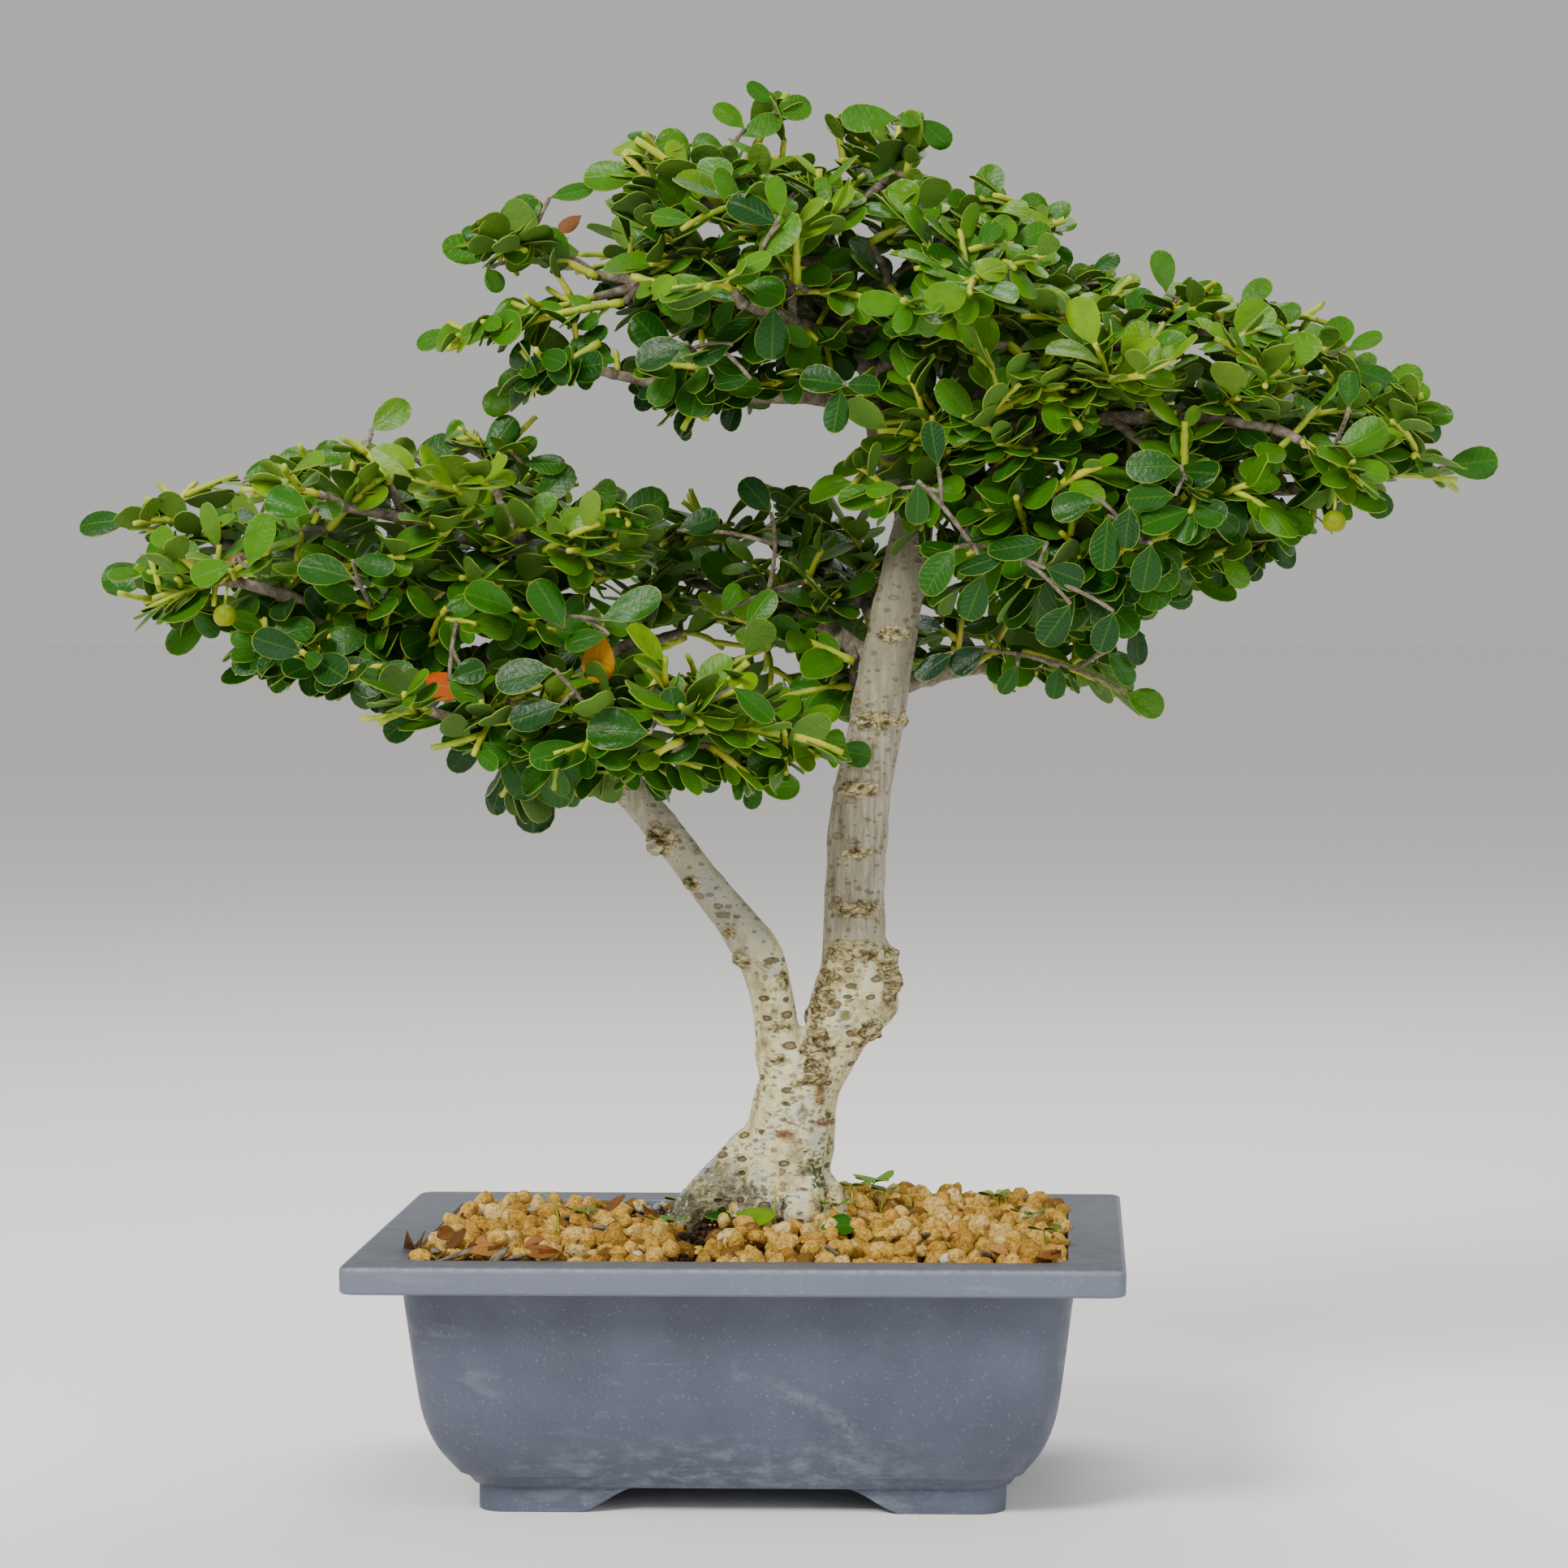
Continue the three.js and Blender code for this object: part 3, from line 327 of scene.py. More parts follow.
class Finish:
    """A material under construction: one surface shader and the nodes that feed it."""

    def __init__(self, name, roughness=0.5, specular=0.5):
        self.material = bpy.data.materials.new(name)
        self.material.use_nodes = True
        self.tree = self.material.node_tree
        self.shader = self.tree.nodes["Principled BSDF"]
        self.shader.inputs["Roughness"].default_value = roughness
        self.shader.inputs["Specular IOR Level"].default_value = specular

    def node(self, kind, **settings):
        made = self.tree.nodes.new(kind)
        for name, value in settings.items():
            setattr(made, name, value)
        return made

    def feed(self, socket, value):
        if isinstance(value, bpy.types.NodeSocket):
            self.tree.links.new(value, socket)
        elif value is not None:
            socket.default_value = value

    def fed(self, made, **values):
        """Feeds a node's inputs by name, and gives the node back."""
        for name, value in values.items():
            self.feed(made.inputs[name], value)
        return made

    def place(self, stretch=(1, 1, 1)):
        """Millimetres from the pot's middle, divided by a stretch along each axis."""
        scales = [1 / (MM * share) for share in stretch]
        start = [-scale * middle for scale, middle in zip(scales, POT_MIDDLE)]
        spot = self.node("ShaderNodeTexCoord").outputs["Object"]
        mapping = self.node("ShaderNodeMapping")
        return self.fed(mapping, Scale=scales, Location=start, Vector=spot).outputs["Vector"]

    def noise(self, place, size, detail=3, roughness=0.5, distortion=0):
        return self.fed(
            self.node("ShaderNodeTexNoise"), Vector=place, Scale=1 / size, Detail=detail,
            Roughness=roughness, Distortion=distortion,
        ).outputs["Fac"]

    def cells(self, place, size, output="Distance", feature="F1"):
        made = self.node("ShaderNodeTexVoronoi", feature=feature)
        return self.fed(made, Vector=place, Scale=1 / size).outputs[output]

    def shaken(self, place, size, reach):
        """A place moved about by noise, which makes round cells ragged."""
        wave = self.fed(self.node("ShaderNodeTexNoise"), Vector=place, Scale=1 / size)
        moved = self.node("ShaderNodeVectorMath", operation="MULTIPLY_ADD")
        for socket, value in zip(moved.inputs, (wave.outputs["Color"], [reach] * 3, place)):
            self.feed(socket, value)
        return moved.outputs[0]

    def spots(self, place, size, spread):
        """Spots in scattered cells, each with its own radius up to a share of a cell, as
        (their rings, their hearts)."""
        near = self.cells(place, size)
        kind = self.parts(self.cells(place, size, output="Color"))[0]
        radius = self.maths("MULTIPLY_ADD", kind, spread * 1.3, -spread * 0.3)
        apart = self.maths("SUBTRACT", near, radius)
        return self.step(apart, -0.03, 0.03, 1, 0), self.step(apart, -0.17, -0.08, 1, 0)

    def held(self, name):
        """An attribute that the mesh holds."""
        return self.node("ShaderNodeAttribute", attribute_name=name).outputs["Fac"]

    def parts(self, vector):
        made = self.node("ShaderNodeSeparateXYZ")
        self.feed(made.inputs[0], vector)
        return made.outputs

    def maths(self, operation, *values):
        made = self.node("ShaderNodeMath", operation=operation)
        for socket, value in zip(made.inputs, values):
            self.feed(socket, value)
        return made.outputs[0]

    def times(self, product, *factors):
        for factor in factors:
            product = self.maths("MULTIPLY", product, factor)
        return product

    def away(self, value, middle=0.0):
        """How far a value is from a middle one."""
        return self.maths("ABSOLUTE", self.maths("SUBTRACT", value, middle))

    def step(self, value, low, high, before=0.0, after=1.0):
        """A smooth step between two values of an input."""
        made = self.node("ShaderNodeMapRange", interpolation_type="SMOOTHSTEP")
        limits = {"From Min": low, "From Max": high, "To Min": before, "To Max": after}
        return self.fed(made, Value=value, **limits).outputs[0]

    def speckle(self, place, low, high, *noise):
        """Where a noise is high."""
        return self.step(self.noise(place, *noise), low, high)

    def mix(self, share, first, second):
        made = self.fed(self.node("ShaderNodeMix", data_type="RGBA"), Factor=share)
        for socket, colour in zip(made.inputs[6:8], (first, second)):
            self.feed(socket, colour)
        return made.outputs[2]

    def tint(self, share, code, strength=1):
        """Lays a colour over what is there, where a share of 0 to 1 says so."""
        share = share if strength == 1 else self.times(share, strength)
        self.colour = self.mix(share, self.colour, paint(code))

    def ramp(self, share, stops):
        """Colours along a share of 0 to 1, (where, colour)."""
        made = self.node("ShaderNodeValToRGB")
        elements = made.color_ramp.elements
        while len(elements) < len(stops):
            elements.new(0.5)
        for element, (where, code) in zip(elements, stops):
            element.position = where
            element.color = paint(code)
        self.feed(made.inputs[0], share)
        return made.outputs[0]

    def bump(self, *heights):
        """Bumps in a row, each (height, its depth in millimetres)."""
        below = None
        for height, depth in heights:
            made = self.node("ShaderNodeBump")
            self.fed(made, Strength=1, Distance=depth * MM, Height=height, Normal=below)
            below = made.outputs[0]
        self.feed(self.shader.inputs["Normal"], below)

    def done(self, roughness=None):
        self.feed(self.shader.inputs["Base Color"], self.colour)
        self.feed(self.shader.inputs["Roughness"], roughness)
        return self.material


def pot_plastic():
    finish = Finish("pot_plastic", specular=0.45)
    place = finish.place()
    x, y, z = finish.parts(place)
    body = finish.noise(place, 26, 4)
    finish.colour = finish.ramp(body, [(0.3, "444958"), (0.5, "4a4f5f"), (0.7, "505566")])
    # Painted light: the lip's face above its foot is made lighter, as it faces the light more than
    # the body that slopes in below it
    finish.tint(finish.step(z, LIP_FOOT - 0.3, LIP_FOOT + 0.6), "6d7382", 0.6)
    finish.tint(finish.speckle(place, 0.62, 0.72, 0.9, 2), "8b93a3", 0.3)
    lime = finish.speckle(finish.place((1.6, 1.6, 0.7)), 0.42, 0.72, 5, 5, 0.7)
    lime = finish.times(lime, finish.step(z, 14, 32, 1, 0))
    lime = finish.times(lime, finish.step(finish.away(x), 20, 85, 1, 0))
    finish.tint(lime, "8897a3", 0.5)
    clouded = finish.speckle(finish.place((3, 3, 1)), 0.6, 0.72, 11, 4, 0.5, 1.2)
    finish.tint(clouded, "8c93a0", 0.16)
    across = finish.maths("MULTIPLY_ADD", x, SCUFF_FALL, z)
    across = finish.maths("MULTIPLY_ADD", finish.noise(place, 14, 1), SCUFF_WAVER, across)
    run = finish.away(x, SCUFF_MIDDLE)
    scuff = finish.times(
        finish.step(finish.away(across, SCUFF_LINE + SCUFF_WAVER / 2), 0, 4.6, 1, 0),
        finish.step(run, SCUFF_REACH - 8, SCUFF_REACH + 5, 1, 0),
        finish.step(y, -60, -66), finish.speckle(place, 0.35, 0.65, 2.4, 5, 0.7),
    )
    finish.tint(scuff, "9ba1ad", 0.2)
    finish.tint(finish.step(z, POT_HEIGHT - 0.5, POT_HEIGHT - 0.2), "575a61", 0.7)
    edges = [
        finish.step(finish.away(way), half - 1.6, half - 0.8)
        for way, half in ((x, RIM_HALF_WIDTH), (y, RIM_HALF_DEPTH))
    ]
    scuffs = finish.step(finish.noise(place, 3, 5, 0.7), 0.3, 0.7, 0.25, 1)
    top = finish.step(z, POT_HEIGHT - 2, POT_HEIGHT - 0.5)
    finish.tint(finish.times(top, scuffs, finish.maths("MAXIMUM", *edges)), "a4a8b2", 0.45)
    streaks = finish.noise(finish.place((1, 1, 9)), 2.6)
    finish.bump((finish.noise(place, 1.1, 2), 0.12), (streaks, 0.1))
    return finish.done(finish.step(finish.noise(place, 8), 0.3, 0.7, 0.42, 0.6))


def clay_granules():
    finish = Finish("soil_granules", roughness=0.95, specular=0.15)
    place = finish.place()
    finish.colour = finish.ramp(finish.held("tone"), [
        (0.0, "57391a"), (0.12, "926a2a"), (0.4, "cf9f3e"), (0.75, "ecbd56"), (1.0, "f6d98e"),
    ])
    finish.tint(finish.speckle(place, 0.44, 0.62, 1.8, 5, 0.65), "80561a", 0.6)
    finish.tint(finish.speckle(place, 0.56, 0.72, 1.3), "f5d68c", 0.4)
    finish.bump((finish.noise(place, 1.6, 5, 0.7), 1.3), (finish.cells(place, 0.9), 0.4))
    return finish.done()


def bark():
    """Pale silvery bark with brown pores, corky where the mesh says so."""
    finish = Finish("bark", specular=0.3)
    place = finish.place()
    x, _, height = finish.parts(place)
    lower = finish.ramp(finish.noise(finish.place((1, 1, 1.8)), 8, 7, 0.66), [
        (0.3, "7a7050"), (0.4, "aea476"), (0.5, "dbd1a0"), (0.6, "cccdb2"), (0.75, "a8ab92"),
    ])
    upper = finish.ramp(finish.noise(finish.place((0.55, 0.55, 4.5)), 3.2, 6, 0.65), [
        (0.3, "756c55"), (0.5, "948c76"), (0.64, "aaa693"), (0.78, "9a9f98"),
    ])
    finish.colour = lower
    finish.tint(finish.times(finish.step(height, 150, 185), finish.step(x, 12, 4)), "8b8b82", 0.7)
    aged = finish.times(finish.step(height, 166, 180), finish.step(x, 20, 26))
    aged = finish.maths("MAXIMUM", aged, finish.step(height, 190, 235))
    finish.colour = finish.mix(aged, finish.colour, upper)
    finish.tint(finish.step(height, 215, 285, 0, 0.6), "7f7b66")
    finish.tint(finish.step(height, 285, 330, 0, 0.85), "6e6250")
    grime = finish.speckle(finish.place((2.2, 2.2, 0.7)), 0.56, 0.68, 2.4, 5, 0.7)
    finish.tint(finish.times(grime, finish.step(height, 200, 150)), "71654a", 0.6)
    crumb = finish.noise(place, 1.6, 5, 0.7)
    wide = finish.shaken(finish.place((1.6, 1.6, 0.8)), 2.2, 0.9)
    rings, hearts = finish.spots(wide, 4.4, 0.42)
    small, _ = finish.spots(finish.shaken(finish.place((1.3, 1.3, 0.8)), 1.2, 0.9), 2.3, 0.46)
    crust = finish.speckle(finish.place((1.8, 1.8, 0.8)), 0.54, 0.6, 2, 6, 0.75)
    finish.tint(finish.times(crust, finish.step(height, 175, 120)), "66532f", 0.8)
    rings = finish.times(rings, finish.step(height, 150, 215, 1, 0.5))
    for pores, code, strength in (
        (small, "5f4d33", 0.65), (rings, "4a3822", 0.9), (hearts, "9a8158", 0.75),
    ):
        finish.tint(pores, code, strength)
    cork = finish.held("cork")
    cracked = finish.shaken(finish.place((2, 2, 0.8)), 2, 2.6)
    cracks = finish.cells(cracked, 3.8, feature="DISTANCE_TO_EDGE")
    corky = finish.ramp(finish.noise(finish.place((1.3, 1.3, 0.9)), 2.6, 6, 0.7), [
        (0.38, "4d3d26"), (0.46, "8f7f52"), (0.54, "c9bc88"), (0.66, "dbd2a8"),
    ])
    finish.colour = finish.mix(finish.step(cork, 0.15, 0.6), finish.colour, corky)
    finish.tint(finish.times(finish.step(cracks, 0, 0.08, 1, 0), cork), "33281a", 0.85)
    finish.tint(finish.held("olive"), "77713f")
    for mark, step, code, strength in (
        ("rust", (crumb, 0.4, 0.55, 0.6, 1), "6d4520", 1),
        # Dark soot and crust, and painted shade in the creases round the root bulbs
        ("soot_and_shade", (crumb, 0.36, 0.5, 0.3, 1), "342c24", 0.95),
        ("lichen", (crumb, 0.45, 0.55), "a9b9bb", 1),
        ("moss", (finish.noise(place, 1.2, 4), 0.4, 0.55), "3a4a2a", 1),
    ):
        finish.tint(finish.times(finish.held(mark), finish.step(*step)), code, strength)
    finish.tint(finish.step(finish.noise(place, 0.7), 0.55, 0.75, 0, 0.35), "5d523b")
    finish.bump(
        (finish.noise(finish.place((1, 1, 0.6)), 2.2, 5, 0.6), 0.6),
        (finish.times(rings, -1), 0.4), (finish.times(crumb, cork), 1.8),
    )
    return finish.done(finish.step(cork, 0, 1, 0.65, 0.92))


def mottled(name, roughness, specular, grain, stops, flecks=None, bumps=None):
    """A finish in mottled colours. The grain is a noise of (size, detail, roughness), the
    flecks are (size, inner and outer radius, colour, strength), and the bumps are
    (noise, depth)."""
    finish = Finish(name, roughness, specular)
    place = finish.place()
    finish.colour = finish.ramp(finish.noise(place, *grain), stops)
    if flecks:
        size, inner, outer, code, strength = flecks
        finish.tint(finish.step(finish.cells(place, size), inner, outer, 1, 0), code, strength)
    if bumps:
        noise_sizes, depth = bumps
        finish.bump((finish.noise(place, *noise_sizes), depth))
    return finish.done()


def leaf_skin(name, stops, margin, rib, shade, roughness):
    """Leathery leaf skin on a leaf's own map: a paler midrib, side veins and a thin
    pale margin, with a matt, greyer underside."""
    finish = Finish(name, specular=0.2)
    place = finish.place()
    u, v, _ = finish.parts(finish.node("ShaderNodeUVMap", uv_map="UVMap").outputs[0])
    ahead, aside = [
        finish.maths("ABSOLUTE", finish.maths("MULTIPLY_ADD", way, 2, -1)) for way in (u, v)
    ]
    finish.colour = finish.ramp(finish.held("tone"), stops)
    finish.tint(finish.step(finish.noise(place, 6), 0.4, 0.75, 0, 0.3), shade)
    ribs = finish.maths("SUBTRACT", u, finish.times(aside, 0.25))
    veins = finish.step(finish.maths("SINE", finish.times(ribs, 44)), 0.7, 1, 0, 0.08)
    middle = finish.step(aside, 0.03, 0.1, 0.22, 0)
    edge = finish.step(finish.maths("MAXIMUM", aside, ahead), 0.95, 0.985, 0, 0.6)
    for share, code in ((veins, rib), (middle, rib), (edge, margin)):
        finish.tint(share, code)
    under = finish.held("underside")
    finish.tint(under, "64803a", 0.45)
    finish.bump((finish.times(middle, -1), 0.35), (veins, -0.5), (finish.noise(place, 2.4), 0.35))
    return finish.done(finish.step(under, 0, 1, roughness, 0.75))


POT_PLASTIC = pot_plastic()
GRANULES = clay_granules()
BARK = bark()
# Dark brown humus: real in its patches, and painted shade where the bed shows in the gaps between the
# granules
HUMUS_AND_SHADE = mottled(
    "humus", 0.95, 0.2, (1.8, 5, 0.7), [(0.32, "1f1610"), (0.5, "3d2b1d"), (0.68, "6b4f36")],
    bumps=((1.8, 5, 0.7), 1.2),
)
TWIG_BARK = mottled(
    "twig_bark", 0.8, 0.3, (3, 5, 0.65),
    [(0.3, "4a3f31"), (0.5, "756a58"), (0.66, "968c7a"), (0.8, "7d6148")],
    flecks=(2.2, 0.12, 0.2, "a89f8b", 0.5), bumps=((1.1, 4, 0.7), 0.6),
)
GREEN_TWIG = mottled(
    "green_twig", 0.5, 0.4, (9,), [(0.3, "76901c"), (0.5, "9fae24"), (0.7, "bdb63a")],
    flecks=(1.7, 0.1, 0.18, "8d7a3a", 0.45), bumps=((0.9,), 0.25),
)
CUT_WOOD = mottled("cut_wood", 0.8, 0.2, (0.8,), [(0.35, "c3b269"), (0.65, "e0d49a")])
BERRY = mottled(
    "berry", 0.42, 0.15, (5, 2), [(0.35, "5f7800"), (0.6, "7e8600"), (0.8, "847600")],
    bumps=((1.2,), 0.15),
)
PEBBLE = mottled(
    "pebble", 0.8, 0.3, (2.4, 4), [(0.3, "a9a08c"), (0.65, "e0dccf")], bumps=((0.8, 4), 0.3),
)
MOSS = mottled(
    "moss", 1.0, 0.1, (3,), [(0.3, "5d6b3a"), (0.5, "9aa08a"), (0.7, "c5cabd")],
    bumps=((0.7, 4), 0.6),
)
LEAF = leaf_skin(
    "leaf",
    [(0.0, "0a2f12"), (0.25, "124207"), (0.5, "265e02"), (0.75, "437500"), (1.0, "688e00")],
    "8a9c30", "5d7d18", "173f08", 0.33,
)
TURNED_LEAF = leaf_skin(
    "turned_leaf", [(0.0, "a63e00"), (0.5, "b26400"), (1.0, "c08c00")],
    "8a4a04", "bc8404", "a84400", 0.6,
)
DEAD_LEAF = leaf_skin(
    "dead_leaf", [(0.0, "4a2a12"), (0.5, "80501f"), (1.0, "b08040")],
    "5b3316", "8e5a2c", "36190c", 0.6,
)


# Pot

def rectangle_corner(index, half_width, half_depth, radius):
    """A numbered point on a rectangle with round corners."""
    quadrant, step = divmod(index, CORNER_STEPS + 1)
    angle = math.pi / 2 * (quadrant + step / CORNER_STEPS)
    x = math.copysign(half_width - radius, 1 if quadrant in (0, 3) else -1)
    y = math.copysign(half_depth - radius, 1 if quadrant in (0, 1) else -1)
    return x + radius * math.cos(angle), y + radius * math.sin(angle)


def lofted(levels):
    """A closed body through rings of (height, inset from the rim's edge, corner radius)."""
    shape = bmesh.new()
    number = shape.verts.layers.int.new("number")
    bmesh.ops.create_circle(
        shape, cap_ends=True, radius=RIM_HALF_WIDTH, segments=4 * (CORNER_STEPS + 1)
    )
    for index, corner in enumerate(shape.verts):
        corner[number] = index
    cap = shape.faces[:][0]
    for step, (z, inset, radius) in enumerate(levels):
        if step:
            region = [cap, *cap.edges, *cap.verts]
            cap = extruded(shape, region, bmesh.types.BMFace, keep=False)[0]
        for corner in cap.verts:
            sizes = RIM_HALF_WIDTH - inset, RIM_HALF_DEPTH - inset, radius
            corner.co = (*rectangle_corner(corner[number], *sizes), z)
    bmesh.ops.recalc_face_normals(shape, faces=shape.faces)
    return shape


def pot_body():
    """The pot without its feet, as rings up the outside, over the lip and down the inside."""
    profile = [(inset, 0, z, 0) for z, inset in BODY_PROFILE]
    wall = [on_line(profile, k / WALL_STEPS) for k in range(WALL_STEPS + 1)]
    outside = [(FOOT_HEIGHT, 36.2), (FOOT_HEIGHT + 0.5, 35.4)]
    outside += [(BAND_TOP - 0.4, 33.2), (BAND_TOP, 32.4)]
    outside += [(spot.z, spot.x) for spot in wall if spot.z < LIP_FOOT - 0.5]
    outside += [(LIP_FOOT, 15.6)]
    lip = [
        (LIP_FOOT, 2.0), (LIP_FOOT + 0.25, 0.7), (LIP_FOOT + 0.9, 0.1), (POT_HEIGHT - 1.3, 0.0),
        (POT_HEIGHT - 0.4, 0.3), (POT_HEIGHT, 1.2),
    ]
    inside = [
        (POT_HEIGHT - 0.25, MOUTH_INSET - 1.2), (POT_HEIGHT - 0.7, MOUTH_INSET - 0.3),
        (POT_HEIGHT - 1.6, MOUTH_INSET), (LIP_FOOT, MOUTH_INSET + 0.1),
    ]
    inside += [(z + 2, inset + 2.6) for z, inset in reversed(BODY_PROFILE[:-1])]
    inside += [(FOOT_HEIGHT + FLOOR_THICKNESS, 37)]
    rounds = (outside, BODY_CORNER), (lip, LIP_CORNER), (inside, MOUTH_CORNER)
    return lofted([(*level, corner) for levels, corner in rounds for level in levels])


def arch(half_top, half_bottom, run):
    """A prism under the arch between two feet, with S-shaped ends, along Y."""
    shape = bmesh.new()
    outline = [(half_bottom, -2)]
    for share in (k / 8 for k in range(9)):
        outline.append((between(half_bottom, half_top, share), smooth(0, 1, share) * FOOT_HEIGHT))
    outline += [(-x, z) for x, z in reversed(outline)]
    face = shape.faces.new([shape.verts.new((x, -run / 2, z)) for x, z in outline])
    moved = extruded(shape, [face], bmesh.types.BMVert)
    bmesh.ops.translate(shape, verts=moved, vec=(0, run, 0))
    bmesh.ops.recalc_face_normals(shape, faces=shape.faces)
    return shape


def feet():
    """Four L-shaped feet: a hollow block with an arch cut through each of its sides."""
    wide, deep = RIM_HALF_WIDTH - FOOT_INSET, RIM_HALF_DEPTH - FOOT_INSET
    top = FOOT_HEIGHT + 1
    outer = [(0, FOOT_INSET + 0.3), (0.3, FOOT_INSET), (top, FOOT_INSET)]
    inner = [(z, FOOT_INSET + FOOT_WALL, 3) for z in (-1, top + 1)]
    short = arch(*SHORT_ARCH, 2 * wide + 10)
    bmesh.ops.rotate(short, verts=short.verts, matrix=Matrix.Rotation(math.pi / 2, 3, "Z"))
    hollows = [lofted(inner), arch(*LONG_ARCH, 2 * deep + 10), short]
    return combined(lofted([(*level, FOOT_CORNER) for level in outer]), hollows, "DIFFERENCE")


def drain(side):
    """A drain hole's round plug, left or right of the middle."""
    shape = bmesh.new()
    bmesh.ops.create_cone(
        shape, cap_ends=True, segments=32, radius1=DRAIN_RADIUS, radius2=DRAIN_RADIUS,
        depth=2 * FLOOR_THICKNESS + 2,
        matrix=Matrix.Translation((side * DRAIN_SPACING / 2, 0, FOOT_HEIGHT + 1.5)),
    )
    return shape


def make_pot():
    shape = combined(pot_body(), [feet()], "UNION")
    shape = combined(shape, [drain(-1), drain(1)], "DIFFERENCE")
    bmesh.ops.remove_doubles(shape, verts=shape.verts, dist=1e-3)
    made = piece("pot_shell", smoothed(shape), [POT_PLASTIC], ["pot"])
    made.data.set_sharp_from_angle(angle=math.radians(SHARPEST_ROUND))


# Soil

def surface(x, y):
    """The height of the soil's top."""
    return SOIL_EDGE_HEIGHT + sum(
        rise * math.exp(-((x - mx) ** 2 + (y - my) ** 2) / spread**2)
        for mx, my, rise, spread in MOUNDS
    )


def humus_share(x, y):
    """Where dark humus lies among the granules, from 0 to 1."""
    edge = noise.noise(Vector((x / 9, y / 9, 4))) * 0.5
    return max(
        smooth(1.25, 0.7, math.hypot((x - px) / wide, (y - py) / deep) + edge)
        for px, py, wide, deep in HUMUS_PATCHES
    )


def rock(seed, subdivisions, rough):
    """A lumpy stone of radius 1 with a few flattened sides."""
    shape = bmesh.new()
    bmesh.ops.create_icosphere(shape, subdivisions=subdivisions, radius=1)
    lean = stray_way((seed,), 1) * 9
    for corner in shape.verts:
        way = corner.co.normalized()
        lump = noise.noise(way * 1.1 + lean) * rough + noise.noise(way * 2.6 + lean) * rough * 0.6
        corner.co = way * (1 + lump)
    for k in range(FLAT_SIDES):
        facing = stray_way((seed, k), 5).normalized()
        for corner in shape.verts:
            over = corner.co.dot(facing) - between(0.55, 0.75, draw(seed, k, 8))
            if over > 0:
                corner.co -= facing * over * 0.9
    shape.faces.layers.float.new("tone")
    return as_mesh("rock", smoothed(shape))


def turned(seed, size, place):
    """A matrix that turns a thing at random, sizes it and puts it in its place."""
    turn = Matrix.Rotation(draw(seed, 1) * math.tau, 4, "Z")
    turn = Matrix.Rotation(draw(seed, 2) * math.tau, 4, "X") @ turn
    narrow, flat = between(0.75, 1, draw(seed, 3)), between(0.7, 1, draw(seed, 4))
    shrink = Matrix.Diagonal((1, narrow, flat, 1))
    return Matrix.Translation(place) @ turn @ shrink @ Matrix.Scale(size, 4)


def sites(pitch, first, margin):
    """Jittered places over the soil, each (x, y, its number)."""
    half_width = RIM_HALF_WIDTH - MOUTH_INSET - margin
    half_depth = RIM_HALF_DEPTH - MOUTH_INSET - margin
    columns = int(2 * RIM_HALF_WIDTH / pitch)
    rows = int(2 * RIM_HALF_DEPTH / (pitch * ROW_PITCH))
    for row in range(rows):
        for column in range(columns):
            number = first + row * columns + column
            x = (column + (row % 2) / 2 + draw(number, 11) * SITE_STRAY) * pitch - RIM_HALF_WIDTH
            y = (row + draw(number, 12) * SITE_STRAY) * pitch * ROW_PITCH - RIM_HALF_DEPTH
            if abs(x) < half_width and abs(y) < half_depth:
                yield x, y, number


def make_bed():
    """The packed soil under the loose granules, down to the pot's floor."""
    shape = bmesh.new()
    half_width = RIM_HALF_WIDTH - MOUTH_INSET - BED_GAP
    half_depth = RIM_HALF_DEPTH - MOUTH_INSET - BED_GAP
    bmesh.ops.create_grid(shape, x_segments=BED_CELLS[0], y_segments=BED_CELLS[1], size=1)
    bmesh.ops.scale(shape, verts=shape.verts, vec=(half_width, half_depth, 1))
    below = set(extruded(shape, shape.faces[:], bmesh.types.BMVert))
    for corner in shape.verts:
        x, y = corner.co.x, corner.co.y
        if corner in below:
            corner.co = (x * BED_TAPER, y * BED_TAPER, BED_FLOOR)
        else:
            crumb = noise.noise(Vector((x / 3, y / 3, 0))) * 1.1
            crumb += noise.noise(Vector((x / 1.5, y / 1.5, 7))) * 0.6
            corner.co.z = surface(x, y) - BED_DROP + crumb
    bmesh.ops.recalc_face_normals(shape, faces=shape.faces)
    # Painted shade: the bed's dark colour stands for the shadow in the gaps between granules, and is
    # real humus in the patches
    piece("soil_bed", smoothed(shape), [HUMUS_AND_SHADE], ["soil"])


